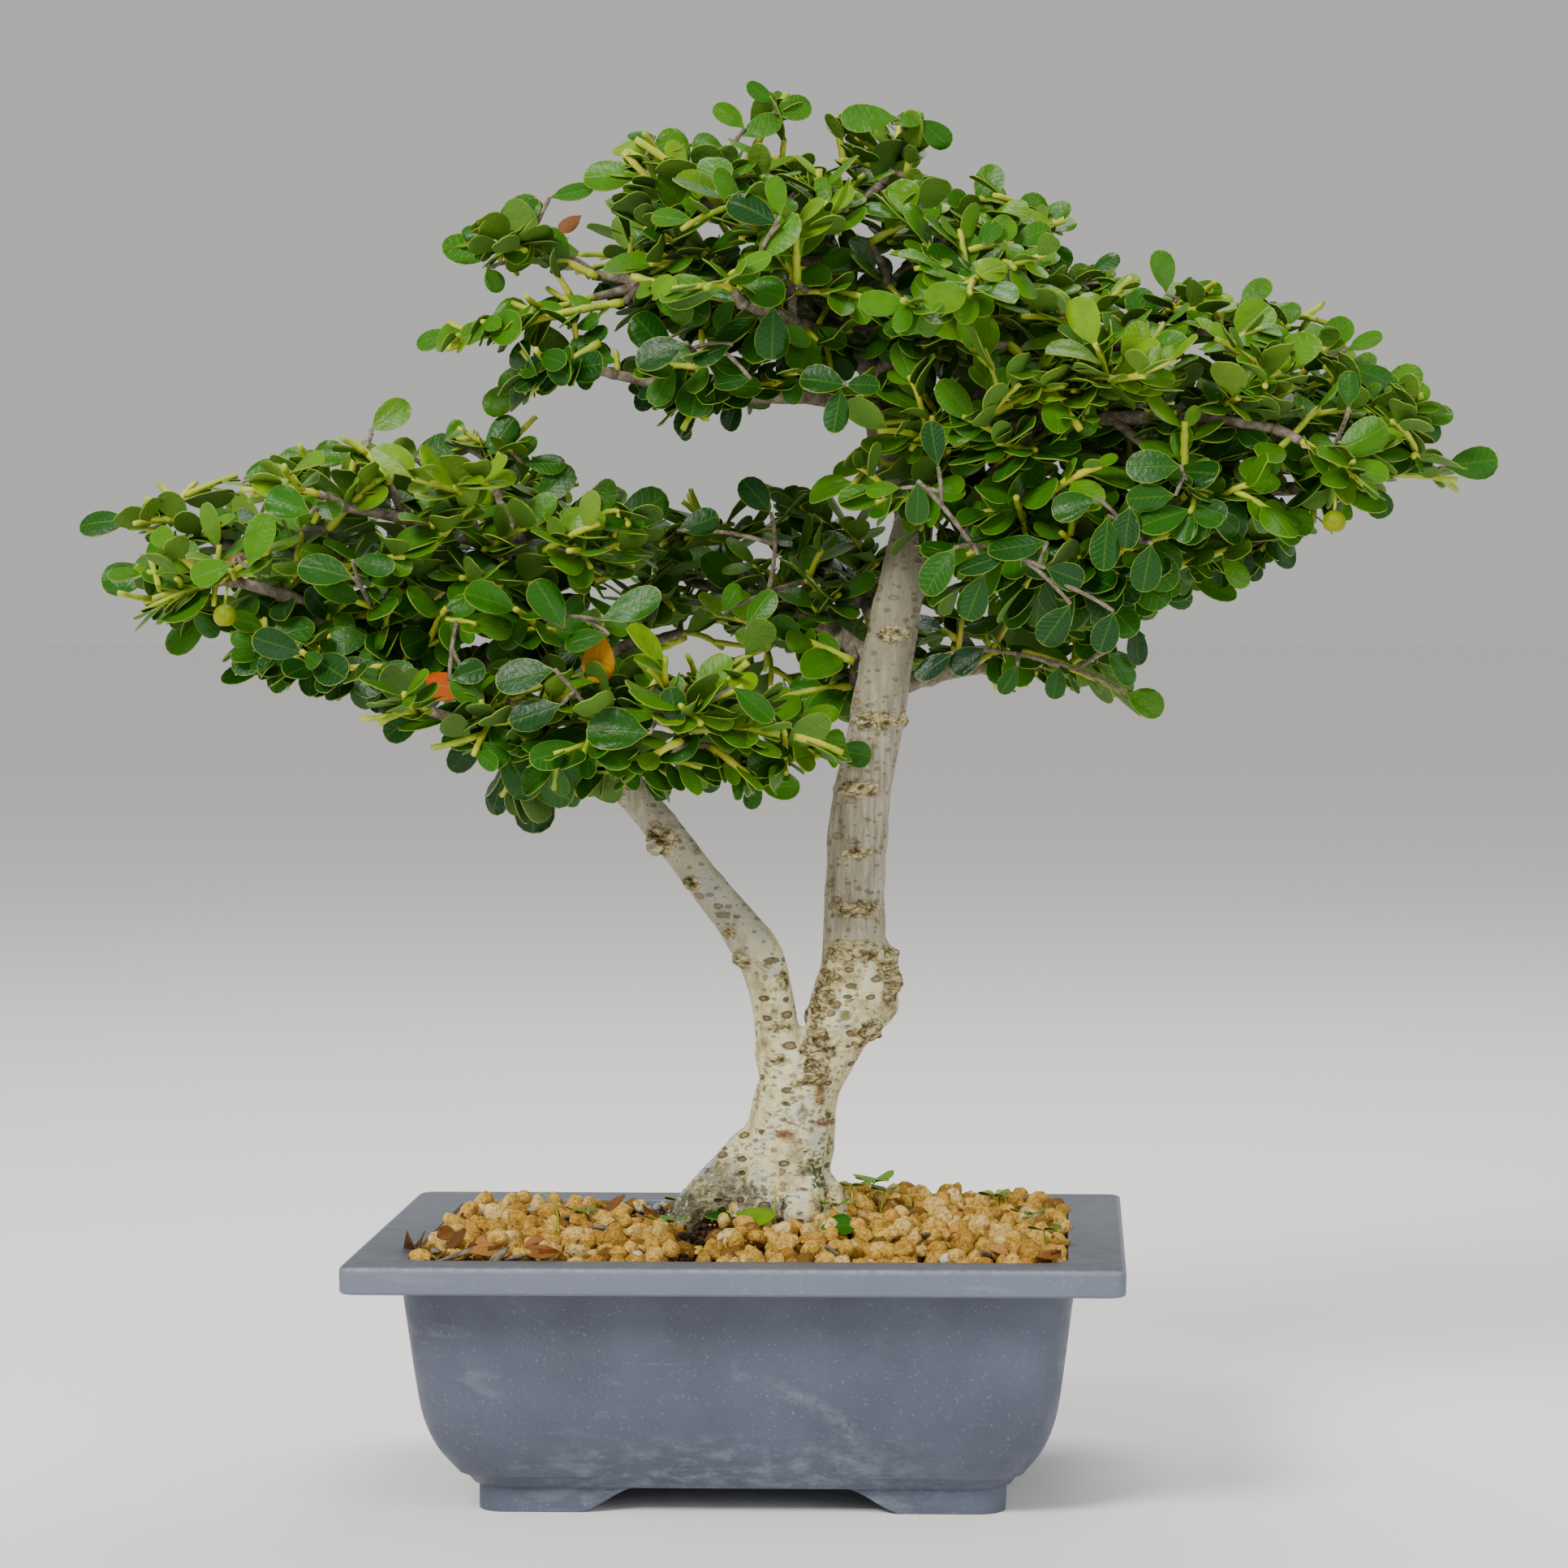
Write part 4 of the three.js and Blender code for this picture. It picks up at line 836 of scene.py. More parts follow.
def make_granules():
    """Clay granules, more of them on top, and crumbs of clay and humus between them."""
    coarse = [rock(seed, 2, 0.34) for seed in range(COARSE_FORMS)]
    fine = [rock(seed + 20, 1, 0.3) for seed in range(FINE_FORMS)]

    def grain(forms, number, x, y, size, lift, tone):
        place = Vector((x, y, surface(x, y) + lift))
        return forms[number % len(forms)], turned(number, size, place), tone

    copies, crumbs, dark = [], [], []
    for x, y, number in sites(GRANULE_PITCH, 1000, 1.6):
        if draw(number, 13) < humus_share(x, y) * 0.9 or draw(number, 21) < 0.04:
            continue
        size = between(*GRANULE_SIZES, draw(number, 14) ** 1.2)
        lift = between(-1.2, 0.9, draw(number, 15))
        tone = between(0.2, 0.95, draw(number, 16)) if draw(number, 17) > 0.16 else 0.08
        copies.append(grain(coarse, number, x, y, size, lift, tone))
    for x, y, number in sites(UPPER_PITCH, 9000, 5):
        if draw(number, 13) < max(humus_share(x, y), 0.35):
            continue
        size = between(*UPPER_SIZES, draw(number, 14))
        lift = between(2.4, 3.6, draw(number, 15))
        copies.append(grain(coarse, number, x, y, size, lift, between(0.3, 1, draw(number, 16))))
    for x, y, number in sites(CRUMB_PITCH, 20000, 1):
        size = between(*CRUMB_SIZES, draw(number, 14) ** 2)
        lift = draw(number, 15) * 2.2 - 1.6
        if draw(number, 13) < humus_share(x, y) * 0.85 + 0.12:
            dark.append(grain(fine, number, x, y, size * 1.1, lift, 0))
        else:
            tone = between(0, 0.8, draw(number, 16))
            crumbs.append(grain(fine, number, x, y, size, lift, tone))
    piece("clay_granules", scattered(copies), [GRANULES], ["soil"])
    piece("clay_crumbs", scattered(crumbs), [GRANULES])
    piece("humus_crumbs", scattered(dark), [HUMUS_AND_SHADE])


# Small things on the soil: places (x, y) and turns about the upright axis

PEBBLES = [(75, 4, 3.4), (65, -62, 3), (26, -4, 2.6), (-31, -60, 2.4), (70, 52, 3.2)]
BARK_BITS = [
    (77, -58, 5, 80), (-86, -58, 9, 15), (-74, -62, 6, 60), (-95, -52, 8, 100), (-68, -66, 5, 140),
    (-48, -6, 5, 30), (-60, 20, 6, 70), (-40, -34, 5, 10), (-90, 30, 6, 120), (30, -60, 5, 45),
    (-8, -52, 5, 160), (58, -34, 4, 75),
]
DEAD_LEAVES = [
    (-99, -58, 110, 0.8), (-92, -50, 60, 0.6), (-84, -64, 20, 0.7), (-76, -58, 150, 0.6),
    (-90, -24, 210, 0.6), (-68, -62, 330, 0.75), (-58, -54, 200, 0.6), (-52, 34, 40, 0.55),
    (92, -66, 10, 0.5), (-36, 10, 290, 0.6), (84, -60, 130, 0.4), (-96, 10, 80, 0.5),
]
FALLEN_LEAVES = [(-18, -8, 10, 0.95, 0.3), (-4, -19, -35, 0.85, 0.95), (24, -36, 8, 0.62, 0.45)]
SEEDLINGS = [
    (-26, -33, 7, 0.75), (-23, 4, 6, 1.0), (89, -2, 5, 0.8), (96, -33, 6, 0.7), (37, -4, 9, 0.9),
    (42, -7, 7, 0.85), (33, -9, 8, 0.9), (80, 28, 5, 0.7), (30, -22, 6, 0.8), (-56, 12, 5, 0.8),
]
GRASS = [(-61, -13, 15, -1), (80, 29, 7, 1), (82, 27, 6, -1), (9, -24, 12, 0.3)]
LICHENS = [
    (-80, 50, 6), (-76, 46, 4), (-33, 58, 6), (-28, 52, 4.6), (-38, 50, 4), (-22, 30, 3.4),
    (-26, 22, 3),
]


def ground(x, y, above=0.0):
    """A point over the soil, above the tops of most granules."""
    return Vector((x, y, surface(x, y) + GRANULES_STAND + above))


def make_litter():
    """Pebbles, bits of bark, lichen and dead leaves that lie on the granules."""
    stones = [rock(seed + 40, 2, 0.2) for seed in range(3)]
    pebbles = [
        (stones[k % 3], turned(k + 300, size, ground(x, y)), 0)
        for k, (x, y, size) in enumerate(PEBBLES)
    ]
    bits, tufts, dead = [], [], []
    for k, (x, y, size, turn) in enumerate(BARK_BITS):
        chip = Matrix.Rotation(math.radians(turn), 4, "Z")
        chip = chip @ Matrix.Rotation(between(-0.9, 0.9, draw(k, 81)), 4, "Y")
        chip = Matrix.Translation(ground(x, y, 1)) @ chip @ Matrix.Diagonal((size, 2.2, 1.1, 1))
        bits.append((stones[k % 3], chip, 0))
    for k, (x, y, size) in enumerate(LICHENS):
        for lump in range(9):
            angle = draw(k, lump, 82) * math.tau
            reach = draw(k, lump, 83) * size
            spot = ground(x + reach * math.cos(angle), y + reach * math.sin(angle), -0.4)
            grown = between(0.9, 2.0, draw(k, lump, 84))
            tufts.append((stones[lump % 3], turned(lump + k, grown, spot), 0))
    for k, (x, y, turn, size) in enumerate(DEAD_LEAVES):
        along = flat_way(math.radians(turn), 0.15)
        face = UP + Vector((draw(k, 85) - 0.5, -draw(k, 86), 0)) * 1.3
        dead.append(leaf_copy(k, ground(x, y, 1.4), along, face, size, draw(k, 87), CURLED_FORMS))
    piece("pebbles", scattered(pebbles), [PEBBLE])
    piece("bark_bits", scattered(bits), [TWIG_BARK])
    piece("lichen", scattered(tufts), [MOSS])
    piece("dead_leaves", scattered(dead), [DEAD_LEAF])


def make_weeds():
    """Fallen green leaves, seedlings and blades of grass on the soil."""
    copies, stems = [], []
    for k, (x, y, turn, size, tone) in enumerate(FALLEN_LEAVES):
        along = flat_way(math.radians(turn), 0.1)
        face = UP + Vector((0.1, -0.9, 0))
        copies.append(leaf_copy(k + 3, ground(x, y, 2.2), along, face, size, tone))
    for k, (x, y, tall, tone) in enumerate(SEEDLINGS):
        foot = ground(x, y, -1)
        top = foot + Vector((draw(k, 91) - 0.5, draw(k, 92) - 0.5, 1)) * tall
        stems.append([(*foot, 0.35), (*(foot + top) / 2, 0.32), (*top, 0.3)])
        for leaf in range(4):
            along = flat_way(leaf * 1.6 + draw(k, leaf, 93), 0.3)
            small = between(0.22, 0.42, draw(k, leaf, 94)) * max(1, tall / 6)
            copies.append(leaf_copy(leaf, top, along, UP + along * -0.2, small, tone))
    for x, y, tall, lean in GRASS:
        foot = ground(x, y, -1)
        line = []
        for step in range(9):
            share = step / 8
            bend = lean * tall * 0.45 * share**3
            spot = foot + Vector((bend, 0, tall * math.sin(share * 1.45)))
            line.append((*spot, between(0.5, 0.16, share)))
        stems.append(line)
    piece("weed_leaves", scattered(copies), [LEAF])
    piece("weed_stems", rods(stems), [GREEN_TWIG])


# Wood, as lines of points with the radius of the wood at each

TRUNK = [
    (8, 0, 62, 19), (9.5, 0, 84, 18), (9.6, 0, 99, 15.6), (12.4, 0, 111, 14.9), (14, 0, 123, 13.6),
    (16, 0, 132, 12.8), (16.5, 0, 141, 7),
]
LEFT_STEM = [
    (13, 0, 124, 8.6), (9.6, 0, 137, 8.4), (7.8, 0, 151, 7.1), (5.6, -1, 162, 7.2),
    (3, -1, 170, 7.6), (-0.8, -2, 176, 7.2), (-6.8, -2, 184, 6.3), (-16.3, -3, 196.2, 5.8),
    (-26.3, -4, 209.2, 5.7), (-36.2, -5, 221.2, 5.7), (-44, -6, 230.8, 5.6), (-50.8, -7, 241, 5.4),
    (-55.7, -8, 253, 5), (-58.5, -8, 266, 4.5), (-62.2, -9, 279.3, 4), (-68.8, -9, 292.4, 3.4),
    (-75.4, -10, 305.5, 2.8),
]
RIGHT_STEM = [
    (17, 0, 124, 9.4), (22, 0, 134, 9.6), (26.4, 0, 143, 10), (30, 0, 152, 12), (33, 0, 160, 12.8),
    (33.6, 0, 168, 11.4), (33.4, 0, 177, 10.4), (33.4, 0, 190, 9.8), (34.4, 0, 208, 10),
    (36, 0, 224, 9.3), (39.6, 1, 242, 9), (42.4, 1, 258, 8.7), (45.3, 2, 274, 8.3),
    (48.5, 2, 290, 7.5), (51.4, 2, 305, 6.9), (52.2, 2, 315, 6.4), (48, 2, 325, 6),
    (42.4, 1, 339, 5.6), (41.4, 1, 352, 5), (38.8, 0, 366, 4.6), (32.2, 0, 379, 3.8),
    (24.3, 0, 392, 3.2), (19.1, 0, 402.6, 2.6),
]
ROOTS = [
    [(6, 0, 112, 8), (-7, -2, 99, 8.4), (-19, -4, 88, 6.4), (-40, -10, 62, 4)],
    [(14, -4, 100, 8), (20, -13, 90, 6.4), (26, -30, 62, 4)],
    [(16, 0, 98, 9), (28, -4, 87, 6.8), (50, -10, 62, 4)],
    [(10, 4, 98, 9), (8, 17, 84, 7), (4, 38, 56, 4)],
    [(6, 4, 96, 8), (-9, 15, 82, 6), (-34, 32, 54, 3.4)],
    [(16, 4, 96, 8), (30, 15, 82, 6), (52, 32, 54, 3.4)],
]
LIMBS = {
    "left_front": [
        (-54, -8, 247, 3.4), (-71.5, -22, 252, 3.1), (-100, -31, 258, 2.9), (-123, -34, 268, 2.6),
        (-139, -36, 284, 2.2), (-160, -38, 291, 1.8),
    ],
    "left_long": [
        (-60, -8, 270, 3.3), (-86, -4, 288, 2.8), (-107, -4, 294, 2.5), (-130, -6, 298, 2.2),
        (-151, -8, 300, 1.9), (-170, -10, 303, 1.6),
    ],
    "left_back": [
        (-61, -8, 275, 3.2), (-84, 18, 285, 2.7), (-110, 34, 291, 2.3), (-138, 42, 297, 1.9),
        (-156, 44, 301, 1.6),
    ],
    "left_mid": [
        (-68, -8, 291, 3), (-84, -24, 303, 2.5), (-104, -36, 310, 2), (-124, -43, 314, 1.6),
    ],
    "left_rear": [
        (-70, -8, 294, 2.8), (-74, 18, 306, 2.4), (-80, 40, 312, 1.9), (-86, 56, 314, 1.6),
    ],
    "left_top": [(-74, -10, 303, 2.8), (-80, -9, 316, 2.2), (-84, -7, 324, 1.6)],
    "left_inner": [(-71, -9, 297, 2.6), (-60, -17, 304, 2.1), (-50, -21, 308, 1.6)],
    "low_front": [
        (-53, -6, 245, 3.4), (-46, -30, 250, 3), (-34, -52, 251, 2.4), (-24, -66, 249, 1.7),
    ],
    "low_left": [
        (-55, -6, 251, 3.2), (-66, -34, 252, 2.7), (-78, -54, 250, 2.2), (-88, -64, 248, 1.6),
    ],
    "low_right": [
        (-50, -6, 240, 3), (-34, -16, 247, 2.6), (-18, -26, 250, 2.2), (-6, -34, 249, 1.7),
    ],
    "low_back": [(-58, -5, 262, 3), (-48, 24, 268, 2.5), (-40, 46, 271, 2), (-34, 56, 272, 1.7)],
    "back_left": [
        (43, 4, 262, 4), (26, 28, 274, 3.2), (6, 52, 284, 2.6), (-14, 70, 289, 2),
        (-26, 79, 291, 1.6),
    ],
    "back_mid": [(44, 5, 272, 3.6), (36, 36, 284, 3), (26, 62, 291, 2.4), (18, 84, 295, 1.7)],
    "low_right_back": [
        (41, 3, 255, 3.8), (60, 28, 261, 3.2), (80, 52, 264, 2.5), (94, 67, 262, 1.7),
    ],
    "back_right": [(48, 5, 285, 4), (64, 34, 296, 3.2), (86, 60, 301, 2.4), (100, 75, 303, 1.7)],
    "right_main": [
        (50, 1, 320, 5.4), (70, 2, 333, 4.6), (98, 0, 334, 3.9), (130, -2, 327, 3.2),
        (158, -3, 321, 2.6), (182, -4, 321, 2), (200, -5, 323, 1.6),
    ],
    "right_front": [
        (52, -1, 318, 4.4), (80, -22, 337, 3.6), (110, -38, 341, 2.9), (140, -46, 342, 2.2),
        (166, -50, 338, 1.6),
    ],
    "right_back": [
        (52, 4, 321, 4.2), (80, 26, 337, 3.4), (112, 42, 342, 2.7), (144, 49, 343, 2.1),
        (168, 52, 342, 1.6),
    ],
    "right_up": [
        (48, 1, 326, 4.4), (76, -2, 351, 3.4), (104, -4, 363, 2.7), (134, -4, 369, 2),
        (158, -3, 371, 1.6),
    ],
    "right_low": [
        (50, -4, 314, 4.2), (62, -14, 325, 3.6), (75, -20, 323, 3.2), (79, -28, 314, 2.8),
        (88, -36, 304, 2.2), (98, -44, 299, 1.6),
    ],
    "right_hang": [(54, 6, 316, 3.4), (80, 38, 322, 2.7), (106, 58, 314, 2.1), (124, 70, 306, 1.6)],
    "top_low_left": [
        (42, -3, 345, 3.6), (22, -14, 350, 3.1), (-3, -22, 350, 2.5), (-26, -28, 353, 1.9),
        (-40, -31, 356, 1.6),
    ],
    "top_left": [
        (38, -2, 367, 3.8), (14, -6, 377, 3.2), (-12, -8, 383, 2.6), (-36, -9, 387, 2),
        (-50, -9, 389, 1.6),
    ],
    "top_front": [(40, -4, 359, 3.6), (25, -28, 368, 3), (11, -48, 374, 2.4), (2, -62, 376, 1.7)],
    "top_right_front": [
        (41, -4, 355, 3.6), (56, -26, 371, 2.9), (68, -44, 380, 2.3), (76, -56, 384, 1.7),
    ],
    "top_right": [(34, 0, 375, 3.4), (52, -1, 391, 2.8), (68, -3, 400, 2.2), (80, -4, 404, 1.7)],
    "top_back": [(40, 3, 361, 3.6), (24, 28, 371, 3), (8, 48, 378, 2.3), (-2, 60, 380, 1.7)],
    "top_back_right": [
        (42, 4, 351, 3.4), (58, 28, 366, 2.8), (70, 48, 375, 2.2), (79, 60, 379, 1.7),
    ],
    "top_back_left": [
        (36, 2, 371, 3.2), (14, 18, 383, 2.6), (-10, 30, 389, 2), (-28, 36, 392, 1.6),
    ],
    "top_upper_left": [(25, -1, 391, 2.8), (6, -4, 402, 2.3), (-12, -5, 410, 1.7)],
    "top_upper_right": [(20, 0, 400, 2.5), (34, 4, 412, 1.9), (42, 5, 419, 1.6)],
    "top_apex": [(19.5, 0, 402, 2.6), (13, -1, 414, 2), (10, -2, 421, 1.6)],
}

# Swellings where buds and old side branches left the stems, (x, y, z, radius)
KNOBS = [
    (27, -7, 150, 6), (43, -2, 170, 5), (44.5, -1, 162, 5), (42, 1, 155, 6.2), (38, -6, 148, 5),
    (24, -7, 143, 4.6), (40, 4, 152, 6), (21, 6, 150, 5), (33, 9, 160, 6), (34, -7, 171, 5),
    (21, -9.5, 134, 5), (8, -10, 128, 3), (-3, -8, 170, 3), (6, -7, 166, 2.6), (-30, -9, 206, 3.2),
    (-26, -8, 211, 3), (-19, -8, 194, 2.4), (-8, -8, 184, 2.2), (36, -8.4, 247, 2.8),
    (42, -7.4, 246, 3), (34, -8.6, 224.6, 2.6), (38, -8, 225, 2.4), (33, -8.6, 205, 2.2),
    (31, -8.4, 186, 2.4), (38, -8, 185.6, 2.4), (46, -5.5, 273, 2.6), (48.5, -1, 246, 2.6),
    (28, 1, 224, 2), (50.5, 3, 272, 2),
]

# The rounded tops of two pale roots at the trunk's foot: middle and half sizes
BULBS = [((17.5, -20, 91), (6.8, 5.5, 7.2)), ((28.5, -19, 91), (3.4, 4.4, 9))]

# Places with their own finish on the trunk, (x, y, z, half width, half height,
# strength)
MARKS = {
    "cork": [
        (24, -7, 157, 6.5, 11, 1), (44, -3, 165, 6.5, 11, 1), (39, -6, 146, 7, 6, 0.95),
        (22, -8, 142, 6, 8, 1), (33, -10, 172, 10, 4, 0.9), (21, -12, 134, 5, 4.4, 1),
        (47, -7, 274, 7, 2.6, 0.85), (41, -8, 246.5, 8, 3.2, 1), (35, -9, 224.4, 8, 2.6, 0.9),
        (35, -9, 204, 7, 1.7, 0.8), (35, -9, 185.8, 8, 2.8, 0.95), (50, -2, 247, 4, 2, 0.7),
        (-28, -8, 208, 6, 4.6, 0.95), (-19, -8, 194, 3.4, 2.4, 0.8), (-7, -7, 178, 3, 2.2, 0.7),
        (-2.5, -8, 169.4, 3, 3, 0.8), (5, -8, 167.5, 2, 1.6, 0.8), (11, -8, 163, 2, 4, 0.8),
        (10, -9, 148, 4.4, 2, 0.9), (9, -11, 137.6, 5, 2, 0.95), (15.4, -14, 130.4, 2.4, 1.2, 0.8),
    ],
    "rust": [
        (2, -11, 134, 2, 1.6, 0.8), (23, -11, 126.5, 2.2, 5, 0.75), (24, -10, 117.6, 3.8, 1.3, 1),
        (11.4, -15, 114.4, 3.6, 1.8, 1),
    ],
    # Real dark soot and crust at the root flare, and painted shade in the creases above and beside
    # the two root bulbs, which makes them stand out
    "soot_and_shade": [
        (17.5, -14, 120.6, 1.8, 4, 0.75), (12.5, -15, 118.6, 2.6, 1.1, 0.6),
        (1, -14, 123, 2.6, 2.2, 0.5), (-10, -8, 99, 10, 8, 0.75), (-20, -6, 89, 10, 8, 0.95),
        (-2, -14, 94, 8, 5, 0.85), (10, -17, 90, 6, 4, 0.7), (16, -23, 99, 7, 1.8, 1),
        (10.4, -23, 94, 2.2, 7, 1), (20, -16, 102, 5, 2.4, 0.9), (-27, -6, 87, 8, 8, 1),
        (31, -16, 97, 3, 2, 0.8),
    ],
    "lichen": [(-14, -2, 104, 5, 5, 0.9), (-23, -2, 95, 5, 4, 1)],
    "moss": [
        (23, -13, 101, 4.6, 6, 1), (27, -9, 109, 3, 4, 0.8), (24.3, -23, 94, 1.6, 9, 1),
        (22, -14, 106, 4, 3, 0.9), (26, -14, 101, 3, 7, 0.9),
    ],
}
# How deep a mark reaches, the scar on the fork, the fineness of the bark's skin, and how
# a limb widens and wavers
MARK_DEPTH = 6
MARK_KINDS = (*MARKS, "olive")
PRUNING_SCAR = Vector((31, -11.5, 152))
SCAR_RADIUS = 1.9
BARK_VOXEL = 0.85
COLLAR = (1.35, 1.2, 1.1)
LIMB_WOBBLE = 0.28
POINTS_PER_SPAN = 7


def thick_line(line, steps, wobble=0.0, seed=0.0):
    """Closely spaced points along a line, with its radius a little uneven."""
    spots = [on_line(line, k / steps) for k in range(steps + 1)]
    return [
        (s.x, s.y, s.z, s.w * (1 + wobble * noise.noise(Vector((s.x, s.y, s.z + seed)) / 5)))
        for s in spots
    ]


def trunk_marks(spot):
    """How strongly each kind of finish shows at a place on the trunk."""
    shares = {}
    ragged = noise.noise(spot / 2.6) * 0.4 + noise.noise(spot / 1.2) * 0.25
    for kind, marks in MARKS.items():
        shares[kind] = 0.0
        for x, y, z, wide, high, strength in marks:
            deep = max(wide, MARK_DEPTH)
            apart = Vector(((spot.x - x) / wide, (spot.y - y) / deep, (spot.z - z) / high)).length
            shares[kind] = max(shares[kind], smooth(1.15, 0.65, apart + ragged) * strength)
    return shares


def trunk_lift(spot, shares, apart):
    """How far the bark stands out at a place, for the finish that it has there."""
    lift = noise.noise(spot / 9) * 0.5 + noise.noise(spot / 3.5) * 0.18
    flaky = Vector((spot.x / 5, spot.y / 5, spot.z / 2.2))
    folds = abs(noise.noise(flaky)) * 2.4 + noise.noise(spot / 1.7) * 0.4 - 0.4
    lift += shares["cork"] * folds + shares["rust"] * 0.3
    lift += shares["moss"] * 0.6 + shares["soot_and_shade"] * noise.noise(spot / 1.9) * 0.8
    return lift + 0.9 * math.exp(-(((apart - 1.35) / 0.35) ** 2))


def make_trunk():
    """Trunk, stems and roots grown into one skin, with the relief of the bark on it."""
    lines = [thick_line(TRUNK, 12), thick_line(LEFT_STEM, 40), thick_line(RIGHT_STEM, 56)]
    lines += [thick_line(root, 12) for root in ROOTS]
    shape = rods(lines, 14)
    for *place, radius in KNOBS:
        middle = Matrix.Translation(place)
        bmesh.ops.create_icosphere(shape, subdivisions=2, radius=radius, matrix=middle)
    for middle, sizes in BULBS:
        stretch = Matrix.Translation(middle) @ Matrix.Diagonal((*sizes, 1))
        bmesh.ops.create_icosphere(shape, subdivisions=3, radius=1, matrix=stretch)
    made = passing(shape)
    blend = made.modifiers.new("blend", "REMESH")
    blend.mode = "VOXEL"
    blend.voxel_size = BARK_VOXEL
    even = made.modifiers.new("even", "SMOOTH")
    even.factor = 0.5
    even.iterations = 6
    shape = evaluated(made)
    shape.normal_update()
    layers = {kind: shape.verts.layers.float.new(kind) for kind in MARK_KINDS}
    moves = []
    for corner in shape.verts:
        spot = corner.co
        shares = trunk_marks(spot)
        apart = (spot - PRUNING_SCAR).length / SCAR_RADIUS
        shares["olive"] = smooth(1.15, 0.85, apart) * 0.9
        shares["cork"] *= smooth(0.9, 1.7, apart)
        for kind, layer in layers.items():
            corner[layer] = shares[kind]
        moves.append((corner, corner.normal * trunk_lift(spot, shares, apart)))
    for corner, move in moves:
        corner.co += move
    piece("trunk", smoothed(shape), [BARK], ["wood"])


def make_limbs():
    """Limbs, thicker where they leave a stem, and the woody feet of the sprays."""
    lines = []
    for number, line in enumerate(LIMBS.values()):
        limb = thick_line(line, (len(line) - 1) * POINTS_PER_SPAN, LIMB_WOBBLE, number * 9)
        for k, swell in enumerate(COLLAR):
            x, y, z, radius = limb[k]
            limb[k] = (x, y, z, radius * swell)
        lines.append(limb)
    for number, one in enumerate(SPRAYS.values()):
        arc = main_arc(one)
        line = []
        for k in range(7):
            spot = arc_point(arc, k / 6 * (WOOD_SHARE + 0.02))
            radius = between(2.0, TWIG_RADIUS * AT_BUD, k / 6)
            radius *= 1 + 0.25 * (draw(number, k, 31) - 0.5)
            line.append((*spot, radius))
        lines.append(line)
    piece("limbs", rods(lines, 8), [TWIG_BARK], ["wood"])


# Leafy sprays: the limb each grows from, the share of it where it leaves, its tips,
# its tone, how far it arches up and how large its leaves are

YOUNG = 0.72
MATURE = 0.34
FILLING_TONE = between(MATURE, YOUNG, 0.6)

# The woody share of a spray's main shoot, how far leaves reach past its end, and the
# buds along a shoot
WOOD_SHARE = 0.28
LEAF_REACH = 5
BUD_PITCH = 2.6
AT_BUD = 1.12
BETWEEN_BUDS = 0.94


def mature(limb, at, *tips, tone=MATURE, rise=7, size=1.0):
    """A spray, with the dark leaves of older wood."""
    tips = [Vector(tip) for tip in tips]
    return {"limb": limb, "at": at, "tips": tips, "tone": tone, "rise": rise, "size": size}


def young(*place, **form):
    """A spray with fresh leaves."""
    return mature(*place, tone=YOUNG, **form)


